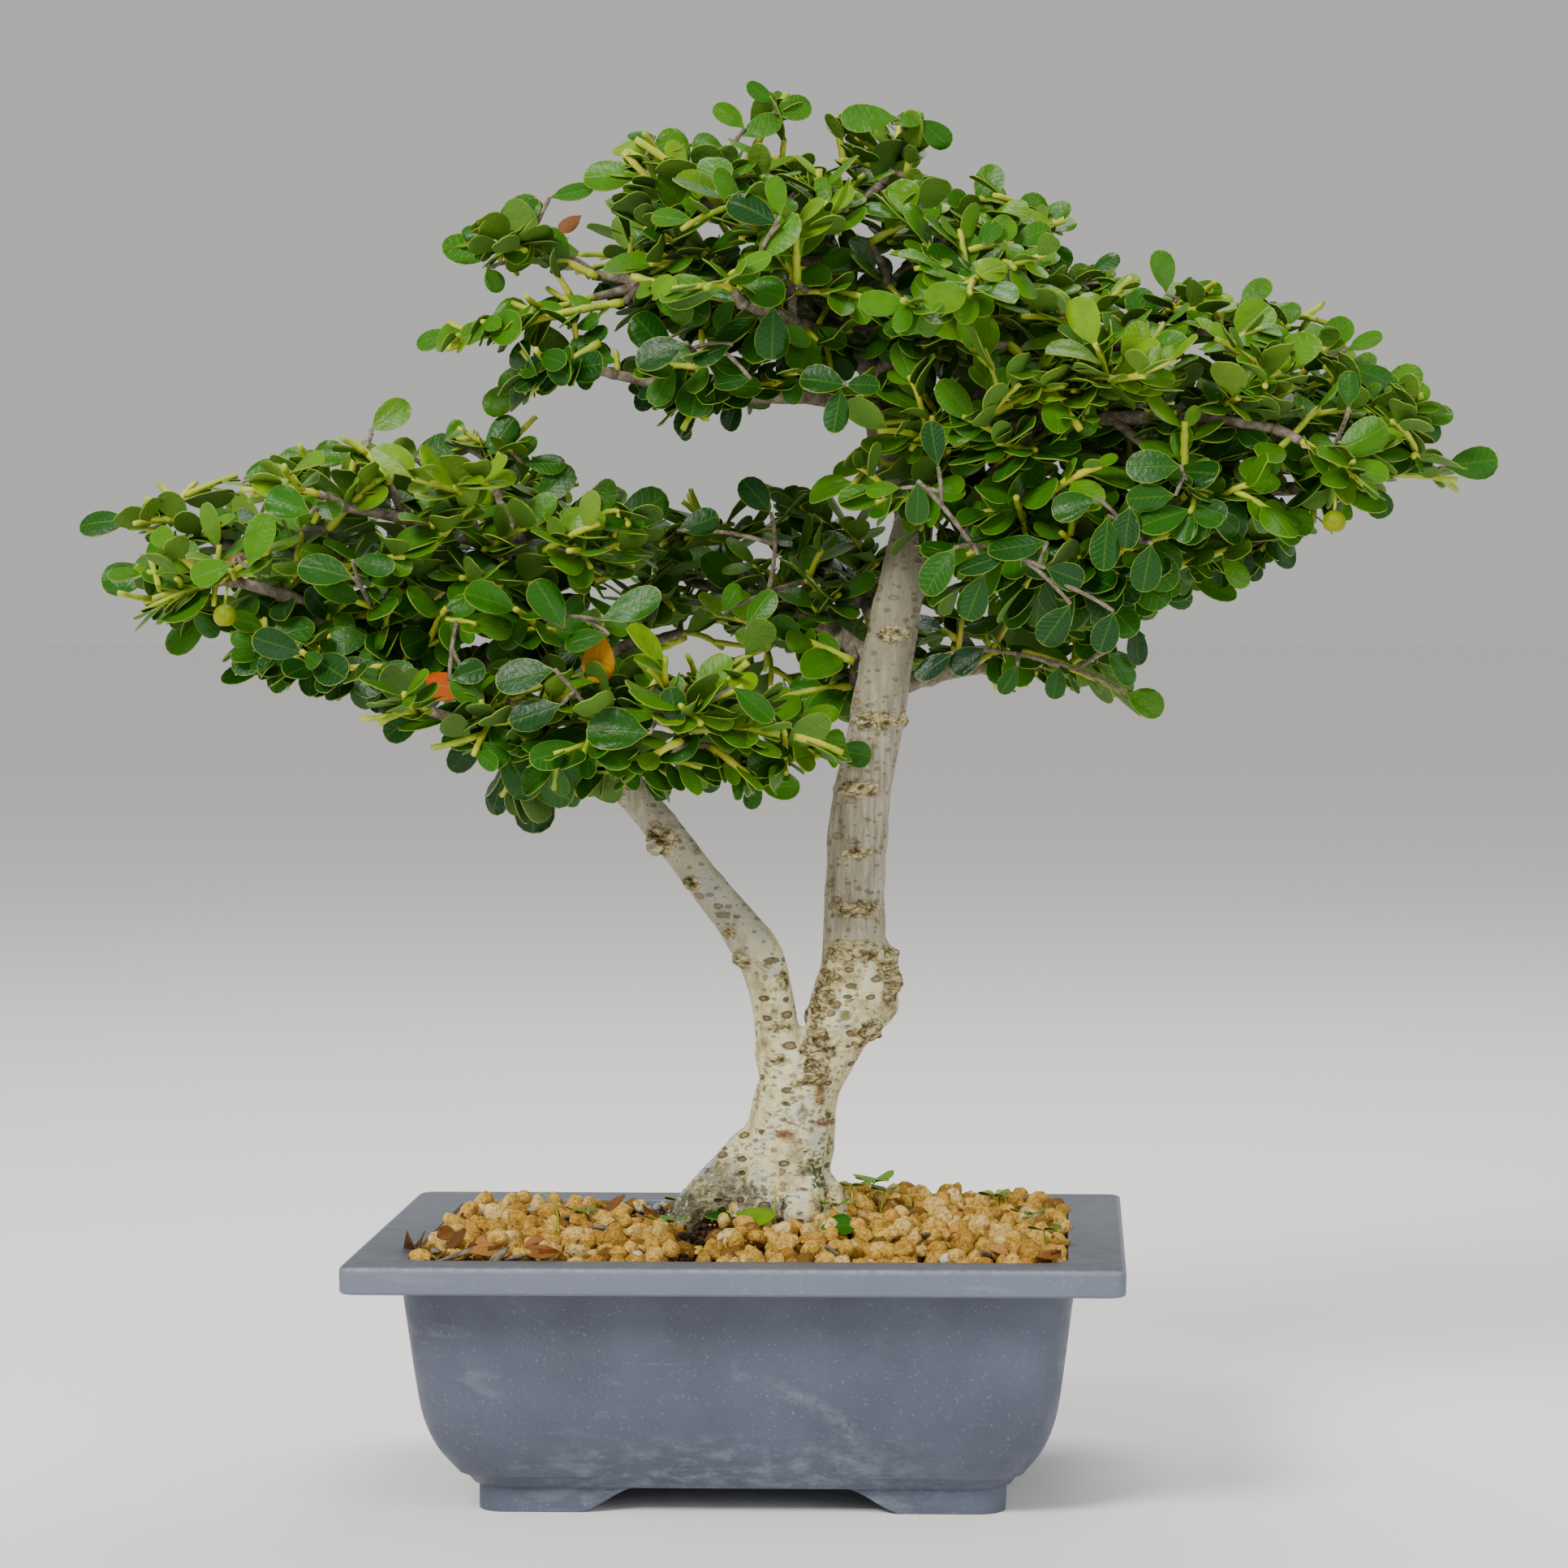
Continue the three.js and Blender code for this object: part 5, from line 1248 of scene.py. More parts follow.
PAD_SPRAYS = {
    "left": [
        young("left_long", 1, (-201, -10, 312), (-181, 14, 326)),
        young("left_front", 1, (-194, -36, 283), rise=3),
        young("left_long", 0.62, (-146, -6, 333)),
        young("left_mid", 0.7, (-127, -26, 339)),
        young("left_mid", 1, (-154, -62, 318)),
        young("left_mid", 0.35, (-88, -64, 322)),
        young("left_top", 1, (-72, -16, 336), (-106, 8, 338)),
        mature("left_inner", 1, (-32, -30, 312)),
        mature("left_front", 0.6, (-154, -54, 266), (-112, -76, 264), rise=-4),
        young("left_back", 1, (-186, 50, 308), (-166, 60, 282)),
        mature("left_back", 0.55, (-142, 80, 306)),
        young("left_rear", 1, (-100, 86, 316), (-58, 62, 325)),
    ],
    "low": [
        young("low_right", 1, (10, -44, 243), (22, -36, 236)),
        mature("low_right", 0.5, (-4, -48, 265)),
        young("low_front", 1, (-6, -90, 247), (-28, -84, 268)),
        mature("low_front", 0.55, (-46, -90, 236)),
        mature("low_left", 1, (-112, -82, 247)),
        mature("low_left", 0.5, (-80, -84, 236), (-66, -52, 226), size=1.1),
        mature("low_back", 1, (-12, 82, 268), (-62, 74, 260)),
    ],
    "rear": [
        mature("back_left", 1, (-46, 98, 300)),
        mature("back_left", 0.6, (-30, 56, 322)),
        mature("back_left", 0.5, (-2, 84, 258)),
        mature("back_mid", 1, (10, 106, 306)),
        mature("back_mid", 0.6, (47, 96, 286), (4, 84, 325)),
        young("low_right_back", 1, (122, 88, 252)),
        mature("low_right_back", 0.6, (78, 84, 254)),
        young("back_right", 1, (120, 98, 302), (76, 90, 322)),
    ],
    "right": [
        young("right_main", 1, (228, -6, 324)),
        young("right_main", 0.8, (214, -16, 350), rise=-3),
        young("right_front", 1, (197, -60, 318), rise=3),
        young("right_front", 0.75, (172, -54, 358), rise=-3),
        mature("right_front", 0.55, (150, -70, 308), rise=2),
        mature("right_low", 1, (122, -62, 290), size=1.1),
        mature("right_low", 0.42, (94, -66, 332), size=1.1),
        young("right_up", 1, (190, 0, 374)),
        young("right_up", 0.66, (152, -14, 386)),
        young("right_up", 0.35, (116, 6, 391)),
        young("right_front", 0.32, (128, -82, 354)),
        young("right_back", 1, (198, 66, 348)),
        young("right_back", 0.6, (160, 86, 354), (120, 84, 358)),
        mature("right_hang", 1, (150, 92, 292)),
    ],
    "top": [
        young("top_left", 1, (-88, -12, 403)),
        young("top_left", 0.68, (-97, -34, 366), rise=2),
        mature("top_low_left", 1, (-73, -42, 350)),
        mature("top_low_left", 0.55, (-20, -48, 336)),
        young("top_upper_left", 1, (-42, -8, 430), (-28, 14, 430)),
        young("top_apex", 1, (12, -6, 437)),
        young("top_upper_right", 1, (54, 8, 431), (30, 15, 432)),
        young("top_right", 1, (101, -8, 408), (76, -26, 414)),
        young("top_front", 1, (-10, -88, 380)),
        young("top_front", 0.55, (18, -52, 408)),
        young("top_right_front", 1, (88, -82, 386), (54, -80, 370)),
        young("top_back", 1, (-14, 88, 386), (14, 74, 406)),
        mature("top_back_right", 1, (94, 86, 386), (58, 88, 366)),
        young("top_back_left", 1, (-58, 50, 400)),
        mature("top_left", 0.45, (-34, -36, 404)),
    ],
}
SPRAYS = {
    f"{pad}_spray_{number}": one
    for pad, sprays in PAD_SPRAYS.items() for number, one in enumerate(sprays, 1)
}


def short_of(start, tip):
    """A shoot's end, short of the tip by as much as its last leaves reach past it."""
    return tip - (tip - start).normalized() * LEAF_REACH


def main_arc(one):
    """The main shoot of a spray, from its limb to near its first tip."""
    start = Vector(on_line(LIMBS[one["limb"]], one["at"])[:3])
    end = short_of(start, one["tips"][0])
    return start, (start + end) / 2 + UP * one["rise"], end


def side_way(way):
    """A level way square to another."""
    side = way.cross(UP)
    return side.normalized() if side.length > 0.05 else Vector((1, 0, 0))


def shoots_of(one, number):
    """Every shoot of a spray as (arc, share where its leaves start): the main one, its
    forks, and short side shoots along each."""
    main = main_arc(one)
    shoots = [(main, WOOD_SHARE)]
    for tip in one["tips"][1:]:
        root = arc_point(main, FORK_AT)
        end = short_of(root, tip)
        lead = arc_way(main, FORK_AT) * (end - root).length * 0.2
        shoots.append(((root, (root + end) / 2 + lead, end), 0.1))
    for fork, (arc, start) in enumerate(list(shoots)):
        count = int(arc_length(arc) * (1 - start) / SIDE_SHOOT_PITCH)
        for k in range(count):
            share = between(start, 0.92, (k + draw(number, fork, k, 1)) / count)
            root, way = arc_point(arc, share), arc_way(arc, share)
            side = side_way(way) * (1 if (k + number) % 2 else -1)
            length = between(*SIDE_SHOOT_LENGTHS, draw(number, fork, k, 2))
            length *= between(1.1, 0.7, share)
            lift = between(-0.25, 0.7, draw(number, fork, k, 3))
            aim = (way * 0.65 + side * 0.75 + UP * lift).normalized()
            end = root + aim * length
            bend = (root + end) / 2 + way * length * 0.12
            shoots.append(((root, bend, end), 0.05))
    return shoots


def shoot_line(arc, start, thick=1.0):
    """A shoot's rod, a little thicker at each bud."""
    length = arc_length(arc)
    steps = max(4, int(length * (1 - start) / BUD_PITCH))
    line = []
    for k in range(steps + 1):
        share = between(start, 1, k / steps)
        radius = between(TWIG_RADIUS, TWIG_TIP_RADIUS, share) * (AT_BUD if k % 2 else BETWEEN_BUDS)
        radius *= between(0.8, 1, min(length / 30, 1)) * thick
        line.append((*arc_point(arc, share), radius))
    return line


# Clouds of foliage, each an ellipsoid: its middle and half sizes
CLOUDS = {
    "left": [
        ((-168, -10, 293), (30, 42, 14)), ((-112, -4, 298), (50, 58, 20)),
        ((-62, -5, 301), (30, 50, 11)), ((-142, -30, 275), (24, 26, 8)),
        ((-76, -25, 279), (32, 32, 12)), ((-122, -42, 292), (40, 18, 13)),
        ((-106, -34, 271), (18, 20, 9)),
    ],
    "low": [
        ((-70, -46, 250), (26, 30, 11)), ((-56, -48, 234), (15, 26, 11)),
        ((-22, -52, 245), (40, 30, 15)), ((6, -52, 234), (16, 12, 5)),
    ],
    "rear": [
        ((-8, 62, 290), (38, 34, 20)), ((22, 72, 268), (30, 26, 15)), ((26, 30, 290), (14, 18, 20)),
        ((88, 56, 274), (36, 30, 13)),
    ],
    "right": [
        ((88, -5, 350), (46, 68, 31)), ((145, -5, 349), (50, 64, 27)),
        ((192, -8, 335), (26, 38, 16)), ((96, -25, 306), (36, 44, 21)),
        ((150, -20, 316), (38, 46, 17)), ((46, -36, 331), (19, 16, 19)),
        ((72, -24, 312), (18, 20, 24)), ((118, -30, 290), (16, 20, 9)),
    ],
    "top": [
        ((2, -5, 395), (44, 56, 25)), ((54, 0, 388), (44, 58, 25)), ((16, 0, 416), (35, 34, 11)),
        ((-64, -10, 394), (16, 18, 7)), ((-56, -34, 364), (15, 12, 8)),
        ((-2, -30, 361), (34, 32, 9)),
    ],
}

# Stout cut shoots that show at the front and along the outline: foot, then tip
CUT_SHOOTS = {
    "left": [
        ((-184, -12, 301), (-201, -12, 313)), ((-152, -38, 295), (-187, -40, 282)),
        ((-186, -5, 309), (-195, -6, 318)), ((-128, -15, 318), (-125, -15, 333)),
        ((-156, -4, 317), (-144, -5, 328)), ((-130, -40, 307), (-115, -42, 322)),
        ((-98, -44, 300), (-83, -48, 315)), ((-110, -4, 312), (-112, -4, 327)),
        ((-62, -40, 300), (-44, -48, 309)), ((-166, -44, 290), (-180, -48, 302)),
    ],
    "low": [
        ((-14, -70, 245), (14, -74, 244)), ((18, -66, 243), (33, -66, 238)),
        ((-16, -72, 242), (-30, -76, 234)), ((-5, -66, 257), (4, -70, 266)),
        ((-8, -66, 240), (5, -68, 230)), ((-64, -70, 248), (-50, -78, 256)),
    ],
    "rear": [
        ((33, 6, 265), (-13, 10, 281)), ((32, 8, 257), (8, 8, 253)),
        ((87, 36, 268), (122, 32, 254)),
    ],
    "right": [
        ((150, -6, 369), (152, -6, 383)), ((194, -10, 338), (215, -12, 350)),
        ((202, -8, 325), (226, -8, 323)), ((124, -48, 290), (154, -52, 301)),
        ((84, -54, 364), (106, -66, 337)), ((98, -52, 354), (131, -60, 349)),
        ((78, -54, 342), (101, -66, 351)), ((154, -44, 338), (172, -50, 351)),
        ((138, -52, 316), (138, -60, 340)), ((96, -60, 318), (112, -72, 326)),
        ((110, -30, 372), (122, -34, 386)), ((176, -10, 356), (188, -12, 369)),
    ],
    "top": [
        ((-48, -12, 388), (-87, -12, 403)), ((-38, -28, 379), (-94, -32, 364)),
        ((-45, -34, 366), (-68, -38, 349)), ((-18, -10, 402), (-40, -12, 428)),
        ((-9, -20, 411), (-35, -22, 431)), ((-2, 0, 424), (12, 0, 448)),
        ((24, -32, 402), (24, -36, 420)), ((18, -52, 383), (18, -58, 404)),
        ((30, 5, 424), (27, 5, 441)), ((50, 0, 421), (53, 0, 435)),
        ((40, -34, 397), (61, -40, 407)), ((67, -18, 398), (88, -20, 410)),
        ((79, -10, 394), (101, -12, 406)), ((-34, -42, 386), (-18, -52, 380)),
    ],
}

# The photograph's view of the tree in pixels of a 1024-pixel frame: the eye, the place
# in the picture that is level with it and straight ahead, and the focal length
VIEW_EYE = Vector((112, -1468, 287.7))
LEVEL_SPOT = (717.6, 385.9)
VIEW_FOCAL = 2965.5

# The crown's outline in the picture, clockwise from the left pad's tip
CROWN_OUTLINE = [
    (55, 340), (80, 332), (100, 320), (116, 314), (136, 315), (158, 307), (178, 299), (199, 292),
    (212, 293), (232, 290), (248, 288), (264, 288), (282, 283), (304, 276), (312, 284), (342, 284),
    (354, 294), (370, 296), (376, 308), (386, 315), (402, 313), (412, 317), (434, 321), (440, 333),
    (472, 333), (482, 318), (504, 311), (526, 318), (540, 304), (556, 298), (544, 282), (536, 270),
    (528, 263), (496, 264), (494, 276), (478, 280), (466, 270), (458, 282), (446, 288), (434, 282),
    (432, 264), (416, 266), (408, 250), (408, 232), (398, 228), (396, 245), (382, 251), (360, 257),
    (342, 264), (318, 268), (315, 256), (328, 246), (340, 234), (322, 224), (300, 232), (284, 232),
    (274, 219), (290, 212), (308, 209), (322, 202), (352, 194), (376, 194), (384, 188), (392, 182),
    (366, 178), (346, 182), (334, 180), (328, 190), (316, 182), (318, 172), (290, 166), (290, 157),
    (306, 148), (318, 140), (336, 131), (354, 129), (362, 124), (388, 121), (388, 128), (366, 137),
    (376, 150), (380, 162), (376, 170), (396, 176), (394, 160), (380, 150), (380, 141), (400, 142),
    (394, 132), (398, 125), (384, 120), (384, 111), (404, 107), (406, 95), (412, 87), (434, 86),
    (456, 90), (478, 92), (468, 80), (470, 72), (482, 68), (490, 72), (488, 58), (498, 54),
    (510, 62), (520, 62), (530, 70), (512, 80), (502, 92), (512, 99), (528, 99), (536, 108),
    (546, 98), (540, 78), (546, 72), (552, 78), (562, 70), (576, 66), (592, 72), (604, 76),
    (618, 82), (621, 93), (606, 99), (606, 110), (616, 122), (632, 128), (632, 118), (646, 112),
    (658, 118), (660, 131), (674, 133), (686, 132), (702, 142), (694, 158), (699, 169), (694, 176),
    (706, 177), (712, 169), (726, 167), (732, 178), (746, 186), (747, 174), (758, 166), (770, 170),
    (774, 184), (796, 190), (806, 194), (826, 184), (826, 197), (846, 204), (854, 212), (868, 208),
    (881, 212), (884, 219), (899, 218), (894, 230), (906, 240), (921, 238), (927, 248), (934, 256),
    (944, 266), (940, 280), (924, 287), (932, 296), (950, 298), (966, 294), (975, 300), (962, 312),
    (930, 316), (902, 312), (906, 336), (890, 330), (888, 346), (870, 350), (860, 344), (846, 348),
    (846, 370), (828, 366), (818, 377), (806, 390), (776, 394), (760, 400), (756, 426), (742, 434),
    (740, 446), (757, 460), (746, 467), (714, 452), (690, 449), (664, 449), (646, 444), (636, 434),
    (614, 444), (598, 442), (562, 490), (546, 500), (526, 503), (523, 516), (506, 526), (490, 524),
    (472, 514), (456, 516), (440, 521), (424, 517), (396, 520), (384, 526), (364, 528), (352, 540),
    (336, 538), (318, 529), (314, 512), (302, 504), (295, 492), (288, 476), (272, 482), (260, 487),
    (250, 476), (250, 462), (244, 458), (236, 462), (218, 456), (204, 452), (180, 450), (148, 446),
    (144, 434), (146, 418), (134, 414), (114, 423), (104, 412), (84, 406), (98, 392), (92, 384),
    (64, 380), (80, 371), (98, 368), (88, 358), (94, 346),
]

# Where the background shows through between the left, low and rear pads
CROWN_GAP = [
    (424, 412), (456, 407), (472, 408), (492, 418), (522, 427), (522, 446), (500, 446), (488, 434),
    (474, 422), (460, 428), (446, 438), (434, 428),
]

# Single leaves read from the picture: the middle, the way that the tip points in degrees
# from the right upwards, the size and the tone. Those along the outline stand near the
# pad's middle depth, and those in front of the pad face the eye.
EDGE_LEAVES = {
    "left": [
        (70, 340, 180, 0.95, 0.3), (85, 376, 183, 1.0, 0.4), (254, 273, 36, 0.85, 0.8),
        (326, 287, 55, 0.9, 0.4), (341, 294, 38, 0.65, 0.6), (297, 282, 45, 0.45, 0.7),
        (187, 303, 33, 0.85, 0.6), (168, 309, 30, 0.7, 0.5), (220, 297, 175, 0.75, 0.6),
        (283, 293, 20, 0.85, 0.4), (395, 328, 75, 0.8, 0.6), (416, 335, 32, 1.15, 0.35),
        (355, 302, 5, 0.75, 0.5), (362, 318, 50, 0.9, 0.4), (124, 411, 215, 1.0, 0.6),
        (162, 436, 205, 0.95, 0.45), (187, 438, 230, 0.8, 0.4), (211, 439, 240, 0.85, 0.3),
        (226, 449, 200, 0.45, 0.35), (238, 449, 268, 0.7, 0.3), (267, 470, 215, 0.95, 0.3),
        (307, 488, 232, 0.95, 0.15), (327, 514, 245, 0.9, 0.1), (350, 521, 265, 1.15, 0.05),
        (372, 513, 280, 0.7, 0.4),
    ],
    "low": [
        (433, 507, 250, 0.8, 0.3), (461, 505, 305, 0.65, 0.3), (508, 513, 0, 0.75, 0.6),
        (493, 516, 250, 0.6, 0.4), (490, 490, 200, 0.8, 0.3), (556, 491, 350, 0.7, 0.4),
    ],
    "rear": [
        (477, 392, 60, 0.6, 0.6), (495, 399, 60, 0.85, 0.6), (496, 325, 130, 0.8, 0.2),
        (455, 342, 20, 0.8, 0.2), (612, 433, 215, 0.8, 0), (634, 429, 215, 0.75, 0),
        (690, 444, 260, 0.6, 0.3), (660, 442, 240, 0.6, 0.3), (746, 457, 335, 0.75, 0.7),
        (731, 434, 310, 0.75, 0.5), (742, 419, 275, 0.75, 0.1),
    ],
    "right": [
        (760, 180, 95, 0.8, 0.65), (720, 174, 40, 0.6, 0.3), (698, 188, 170, 0.8, 0.3),
        (729, 191, 335, 0.8, 0.5), (780, 194, 15, 0.9, 0.6), (747, 204, 120, 0.8, 0.5),
        (817, 193, 38, 0.7, 0.7), (833, 207, 15, 0.8, 0.6), (818, 210, 80, 0.8, 0.6),
        (867, 222, 42, 0.9, 0.65), (888, 225, 25, 0.7, 0.65), (892, 245, 340, 0.9, 0.4),
        (931, 270, 5, 0.8, 0.6), (926, 280, 335, 0.7, 0.4), (956, 303, 8, 1.0, 0.45),
        (918, 303, 5, 0.8, 0.3), (896, 326, 310, 0.7, 0.3), (868, 327, 280, 0.6, 0.1),
        (836, 354, 285, 0.9, 0.2), (797, 370, 265, 0.7, 0.1), (816, 368, 290, 0.6, 0.1),
        (790, 383, 340, 0.9, 0.6), (765, 388, 340, 0.7, 0.3), (740, 398, 200, 0.85, 0.3),
    ],
    "top": [
        (287, 220, 190, 0.75, 0.6), (332, 258, 205, 0.9, 0.7), (341, 247, 200, 0.8, 0.6),
        (358, 237, 100, 0.7, 0.6), (382, 241, 280, 0.7, 0.3), (331, 209, 35, 0.85, 0.7),
        (358, 203, 20, 0.8, 0.6), (311, 163, 175, 1.05, 0.6), (323, 182, 300, 0.5, 0.6),
        (336, 142, 35, 1.0, 0.6), (373, 127, 12, 0.8, 0.5), (350, 142, 80, 0.6, 0.5),
        (312, 151, 190, 0.5, 0.4), (402, 116, 178, 1.0, 0.7), (444, 101, 120, 0.9, 0.7),
        (421, 90, 180, 0.5, 0.4), (465, 96, 170, 0.6, 0.6), (479, 78, 140, 0.7, 0.7),
        (499, 63, 145, 0.6, 0.5), (517, 73, 8, 0.7, 0.6), (496, 85, 25, 0.8, 0.6),
        (571, 79, 180, 1.05, 0.6), (609, 87, 320, 0.75, 0.5), (592, 79, 20, 0.6, 0.6),
        (645, 125, 75, 0.85, 0.65), (628, 138, 100, 0.7, 0.6), (685, 143, 30, 0.8, 0.6),
        (688, 168, 335, 0.65, 0.5), (415, 237, 200, 0.5, 0.1), (425, 256, 240, 0.7, 0.1),
        (480, 270, 250, 0.6, 0.1), (449, 280, 270, 0.4, 0.3),
    ],
}
FRONT_LEAVES = {
    "left": [
        (361, 396, 120, 1.0, 0.35), (410, 397, 25, 1.15, 0.4), (304, 440, 20, 0.65, 0.25),
        (215, 373, 165, 1.0, 0.3), (243, 368, 350, 0.75, 0.3), (190, 330, 160, 0.85, 0.5),
        (140, 372, 200, 0.8, 0.7), (168, 355, 70, 1.0, 0.7), (385, 416, 188, 0.8, 0.35),
    ],
    "low": [
        (345, 440, 190, 1.05, 0.2), (352, 465, 200, 0.95, 0.1), (406, 477, 175, 1.1, 0.3),
        (441, 465, 100, 0.8, 0.25), (490, 458, 320, 0.9, 0.4),
    ],
    "rear": [],
    "right": [
        (614, 371, 235, 0.95, 0.35), (637, 388, 250, 0.85, 0.2), (643, 367, 200, 0.9, 0.15),
        (693, 375, 340, 0.7, 0.1), (748, 369, 260, 0.85, 0.2), (721, 353, 265, 0.95, 0.25),
        (735, 343, 260, 0.75, 0.15), (599, 327, 270, 0.75, 0.3), (610, 292, 100, 0.8, 0.1),
        (578, 319, 180, 0.6, 0.7), (690, 406, 235, 0.85, 0.1), (722, 411, 250, 0.75, 0.1),
        (878, 257, 90, 0.65, 0.35), (666, 357, 190, 1.05, 0.2), (702, 330, 200, 0.8, 0.3),
        (754, 305, 180, 0.95, 0.3), (752, 325, 185, 0.85, 0.3),
    ],
    "top": [
        (508, 131, 100, 0.7, 0.7), (495, 140, 150, 1.0, 0.1), (505, 216, 270, 0.95, 0.25),
        (434, 230, 200, 0.95, 0.15), (467, 230, 200, 0.75, 0.2), (480, 250, 190, 0.65, 0.2),
        (540, 250, 170, 0.85, 0.25), (562, 252, 0, 0.6, 0.25), (547, 267, 260, 0.8, 0.25),
    ],
}

# Unripe berries in the picture: across, down, depth, the spray each hangs from, and
# where along its main shoot
BERRIES = {
    "left_berry": (147, 402, -62, "left_spray_2", 0.06),
    "right_berry": (869, 341, -64, "right_spray_3", 0.75),
}

# How many pixels leaves keep clear of berries and turned leaves, from how far behind them,
# and how deep the leaves that are read from the picture stand
BERRY_ROOM = 17
TURNED_ROOM = 13
BEHIND_BERRY = 4
BEHIND_TURNED = 12
EDGE_DEPTH = -10
FRONT_DEPTHS = {"left": -70, "low": -88, "rear": 0, "right": -76, "top": -66}

# Leaves that have turned orange and yellow, read from the picture as the others are, and
# brown ones, (foot, size, tone)
TURNED_LEAVES = [(294, 448, 168, 1.05, 0.1), (391, 426, 262, 0.95, 0.85)]
TURNED_DEPTH = -66
BROWN_LEAVES = [((-52, -22, 407), 0.5, 0.3), ((-160, -20, 300), 0.4, 0.8)]

# Places in the picture that no leaf hides, ((across, down), depth, room round them)
SHOWN = [
    ((across, down), depth + BEHIND_BERRY, BERRY_ROOM) for across, down, depth, *_ in BERRIES.values()
]
SHOWN += [(spot[:2], TURNED_DEPTH + BEHIND_TURNED, TURNED_ROOM) for spot in TURNED_LEAVES]

# How shoots fill the clouds: tries in each, its reach, the gap between tips, how much of
# a shoot bears leaves, the shortest shoot, and the bare end of a cut one
CLOUD_TRIES = 260
CLOUD_GROWTH = 1.06
TIP_SPACING = 11.8
LEAFY_RUN = 27
SHORTEST_SHOOT = 8
CUT_END = 1.2

# Where shoots may leave an older shoot, and how many places along the wood, with how many
# of them bare from the foot up
HOLDS_ON_SHOOT = (0.3, 0.55)
LIMB_HOLDS = 28
LIMB_BARE = 6
STEM_HOLDS = 60
STEM_BARE = 48


def from_picture(across, down, depth):
    """The place that shows at a pixel of the picture, at a depth."""
    scale = (depth - VIEW_EYE.y) / VIEW_FOCAL
    x = VIEW_EYE.x + (across - LEVEL_SPOT[0]) * scale
    return Vector((x, depth, VIEW_EYE.z - (down - LEVEL_SPOT[1]) * scale))


def seen(spot):
    """The pixel of the picture where a place shows."""
    scale = VIEW_FOCAL / (spot.y - VIEW_EYE.y)
    across = LEVEL_SPOT[0] + (spot.x - VIEW_EYE.x) * scale
    return across, LEVEL_SPOT[1] + (VIEW_EYE.z - spot.z) * scale


def encloses(outline, across, down):
    """Whether a pixel of the picture lies inside an outline."""
    crossings = 0
    for (x0, y0), (x1, y1) in zip(outline, outline[1:] + outline[:1]):
        if (y0 > down) != (y1 > down):
            crossings += across < x0 + (down - y0) / (y1 - y0) * (x1 - x0)
    return crossings % 2 == 1


def in_crown(spot):
    """Whether a place shows inside the crown's outline."""
    return encloses(CROWN_OUTLINE, *seen(spot)) and not encloses(CROWN_GAP, *seen(spot))


def leaf_shows_well(leaf):
    """Whether a leaf's tip and sides show inside the crown, and it hides no berry."""
    _, base, along, face, size, _ = leaf
    along = along.normalized()
    side = face.cross(along).normalized() * LEAF_WIDTH * size * LEAF_SHOULDER
    middle = base + along * LEAF_LENGTH * size * LEAF_MIDDLE
    tip = base + along * LEAF_LENGTH * size
    for place, depth, room in SHOWN:
        if math.dist(seen(middle), place) < room and middle.y < depth:
            return False
    return all(in_crown(spot) for spot in (tip, middle + side, middle - side))


def cloud_tips(cloud, number, taken):
    """Places for the ends of shoots in a cloud, most of them near its skin, each well
    apart from those already taken."""
    middle, sizes = cloud
    tips = []
    for k in range(CLOUD_TRIES):
        angle = draw(number, k, 61) * math.tau
        height = between(-1, 1, draw(number, k, 62))
        ring = math.sqrt(1 - height**2) * between(0.5, 1, draw(number, k, 63) ** 0.5)
        way = (ring * math.cos(angle), ring * math.sin(angle), height)
        tip = Vector(
            spot + share * size * CLOUD_GROWTH for spot, share, size in zip(middle, way, sizes)
        )
        if in_crown(tip) and all((tip - other).length > TIP_SPACING for other in taken):
            taken.append(tip)
            tips.append(tip)
    return tips


def rooted(tips, holds):
    """A shoot to each tip, from the nearest of some holds on wood or on an older shoot."""
    arcs = []
    for tip in sorted(tips, key=lambda tip: min((tip - hold).length for hold in holds)):
        root = min(holds, key=lambda hold: (tip - hold).length + max(0, hold.z - tip.z) * 0.5)
        run = tip - root
        if run.length < SHORTEST_SHOOT:
            continue
        bow = side_way(run) * noise.noise(tip / 7) * 0.3 + UP * 0.1
        arc = (root, (root + tip) / 2 + bow * run.length, tip)
        arcs.append(arc)
        holds += [arc_point(arc, share) for share in HOLDS_ON_SHOOT]
    return arcs


# Leaves

def leaf_template(fold, curl, cup, twist, narrow, egg):
    """A leaf one unit long on a short stalk, egg-shaped with its broad end out, its face
    towards +Z."""
    shape = bmesh.new()
    shape.loops.layers.uv.new("UVMap")
    under = shape.faces.layers.float.new("underside")
    shape.faces.layers.float.new("tone")
    bmesh.ops.create_grid(shape, x_segments=4, y_segments=4, size=1, calc_uvs=True)
    width = LEAF_WIDTH / LEAF_LENGTH / 2 * narrow
    for corner in shape.verts:
        x, y = corner.co.x, corner.co.y
        round_x = x * math.sqrt(1 - y * y / 2)
        round_y = y * math.sqrt(1 - x * x / 2)
        along = ((1 + round_x) / 2) ** 0.95
        across = round_y * width * (1 + egg * round_x)
        shade = abs(across) / width
        if x < -0.99 and abs(y) < 0.01:
            along -= STALK_SHARE
        height = fold * shade * 0.3 - curl * along * along + cup * shade * shade * 0.3
        turn = twist * along
        corner.co = (
            along + STALK_SHARE,
            across * math.cos(turn) - height * math.sin(turn),
            across * math.sin(turn) + height * math.cos(turn),
        )
    shape.normal_update()
    bmesh.ops.solidify(shape, geom=shape.faces[:], thickness=LEAF_THICKNESS / LEAF_LENGTH)
    shape.normal_update()
    for face in shape.faces:
        facing = face.normal.z
        face[under] = 1.0 if facing < -0.3 else 0.0
        face.smooth = abs(facing) > 0.3
    for edge in shape.edges:
        if any(not face.smooth for face in edge.link_faces):
            edge.smooth = False
    return as_mesh("leaf", shape)


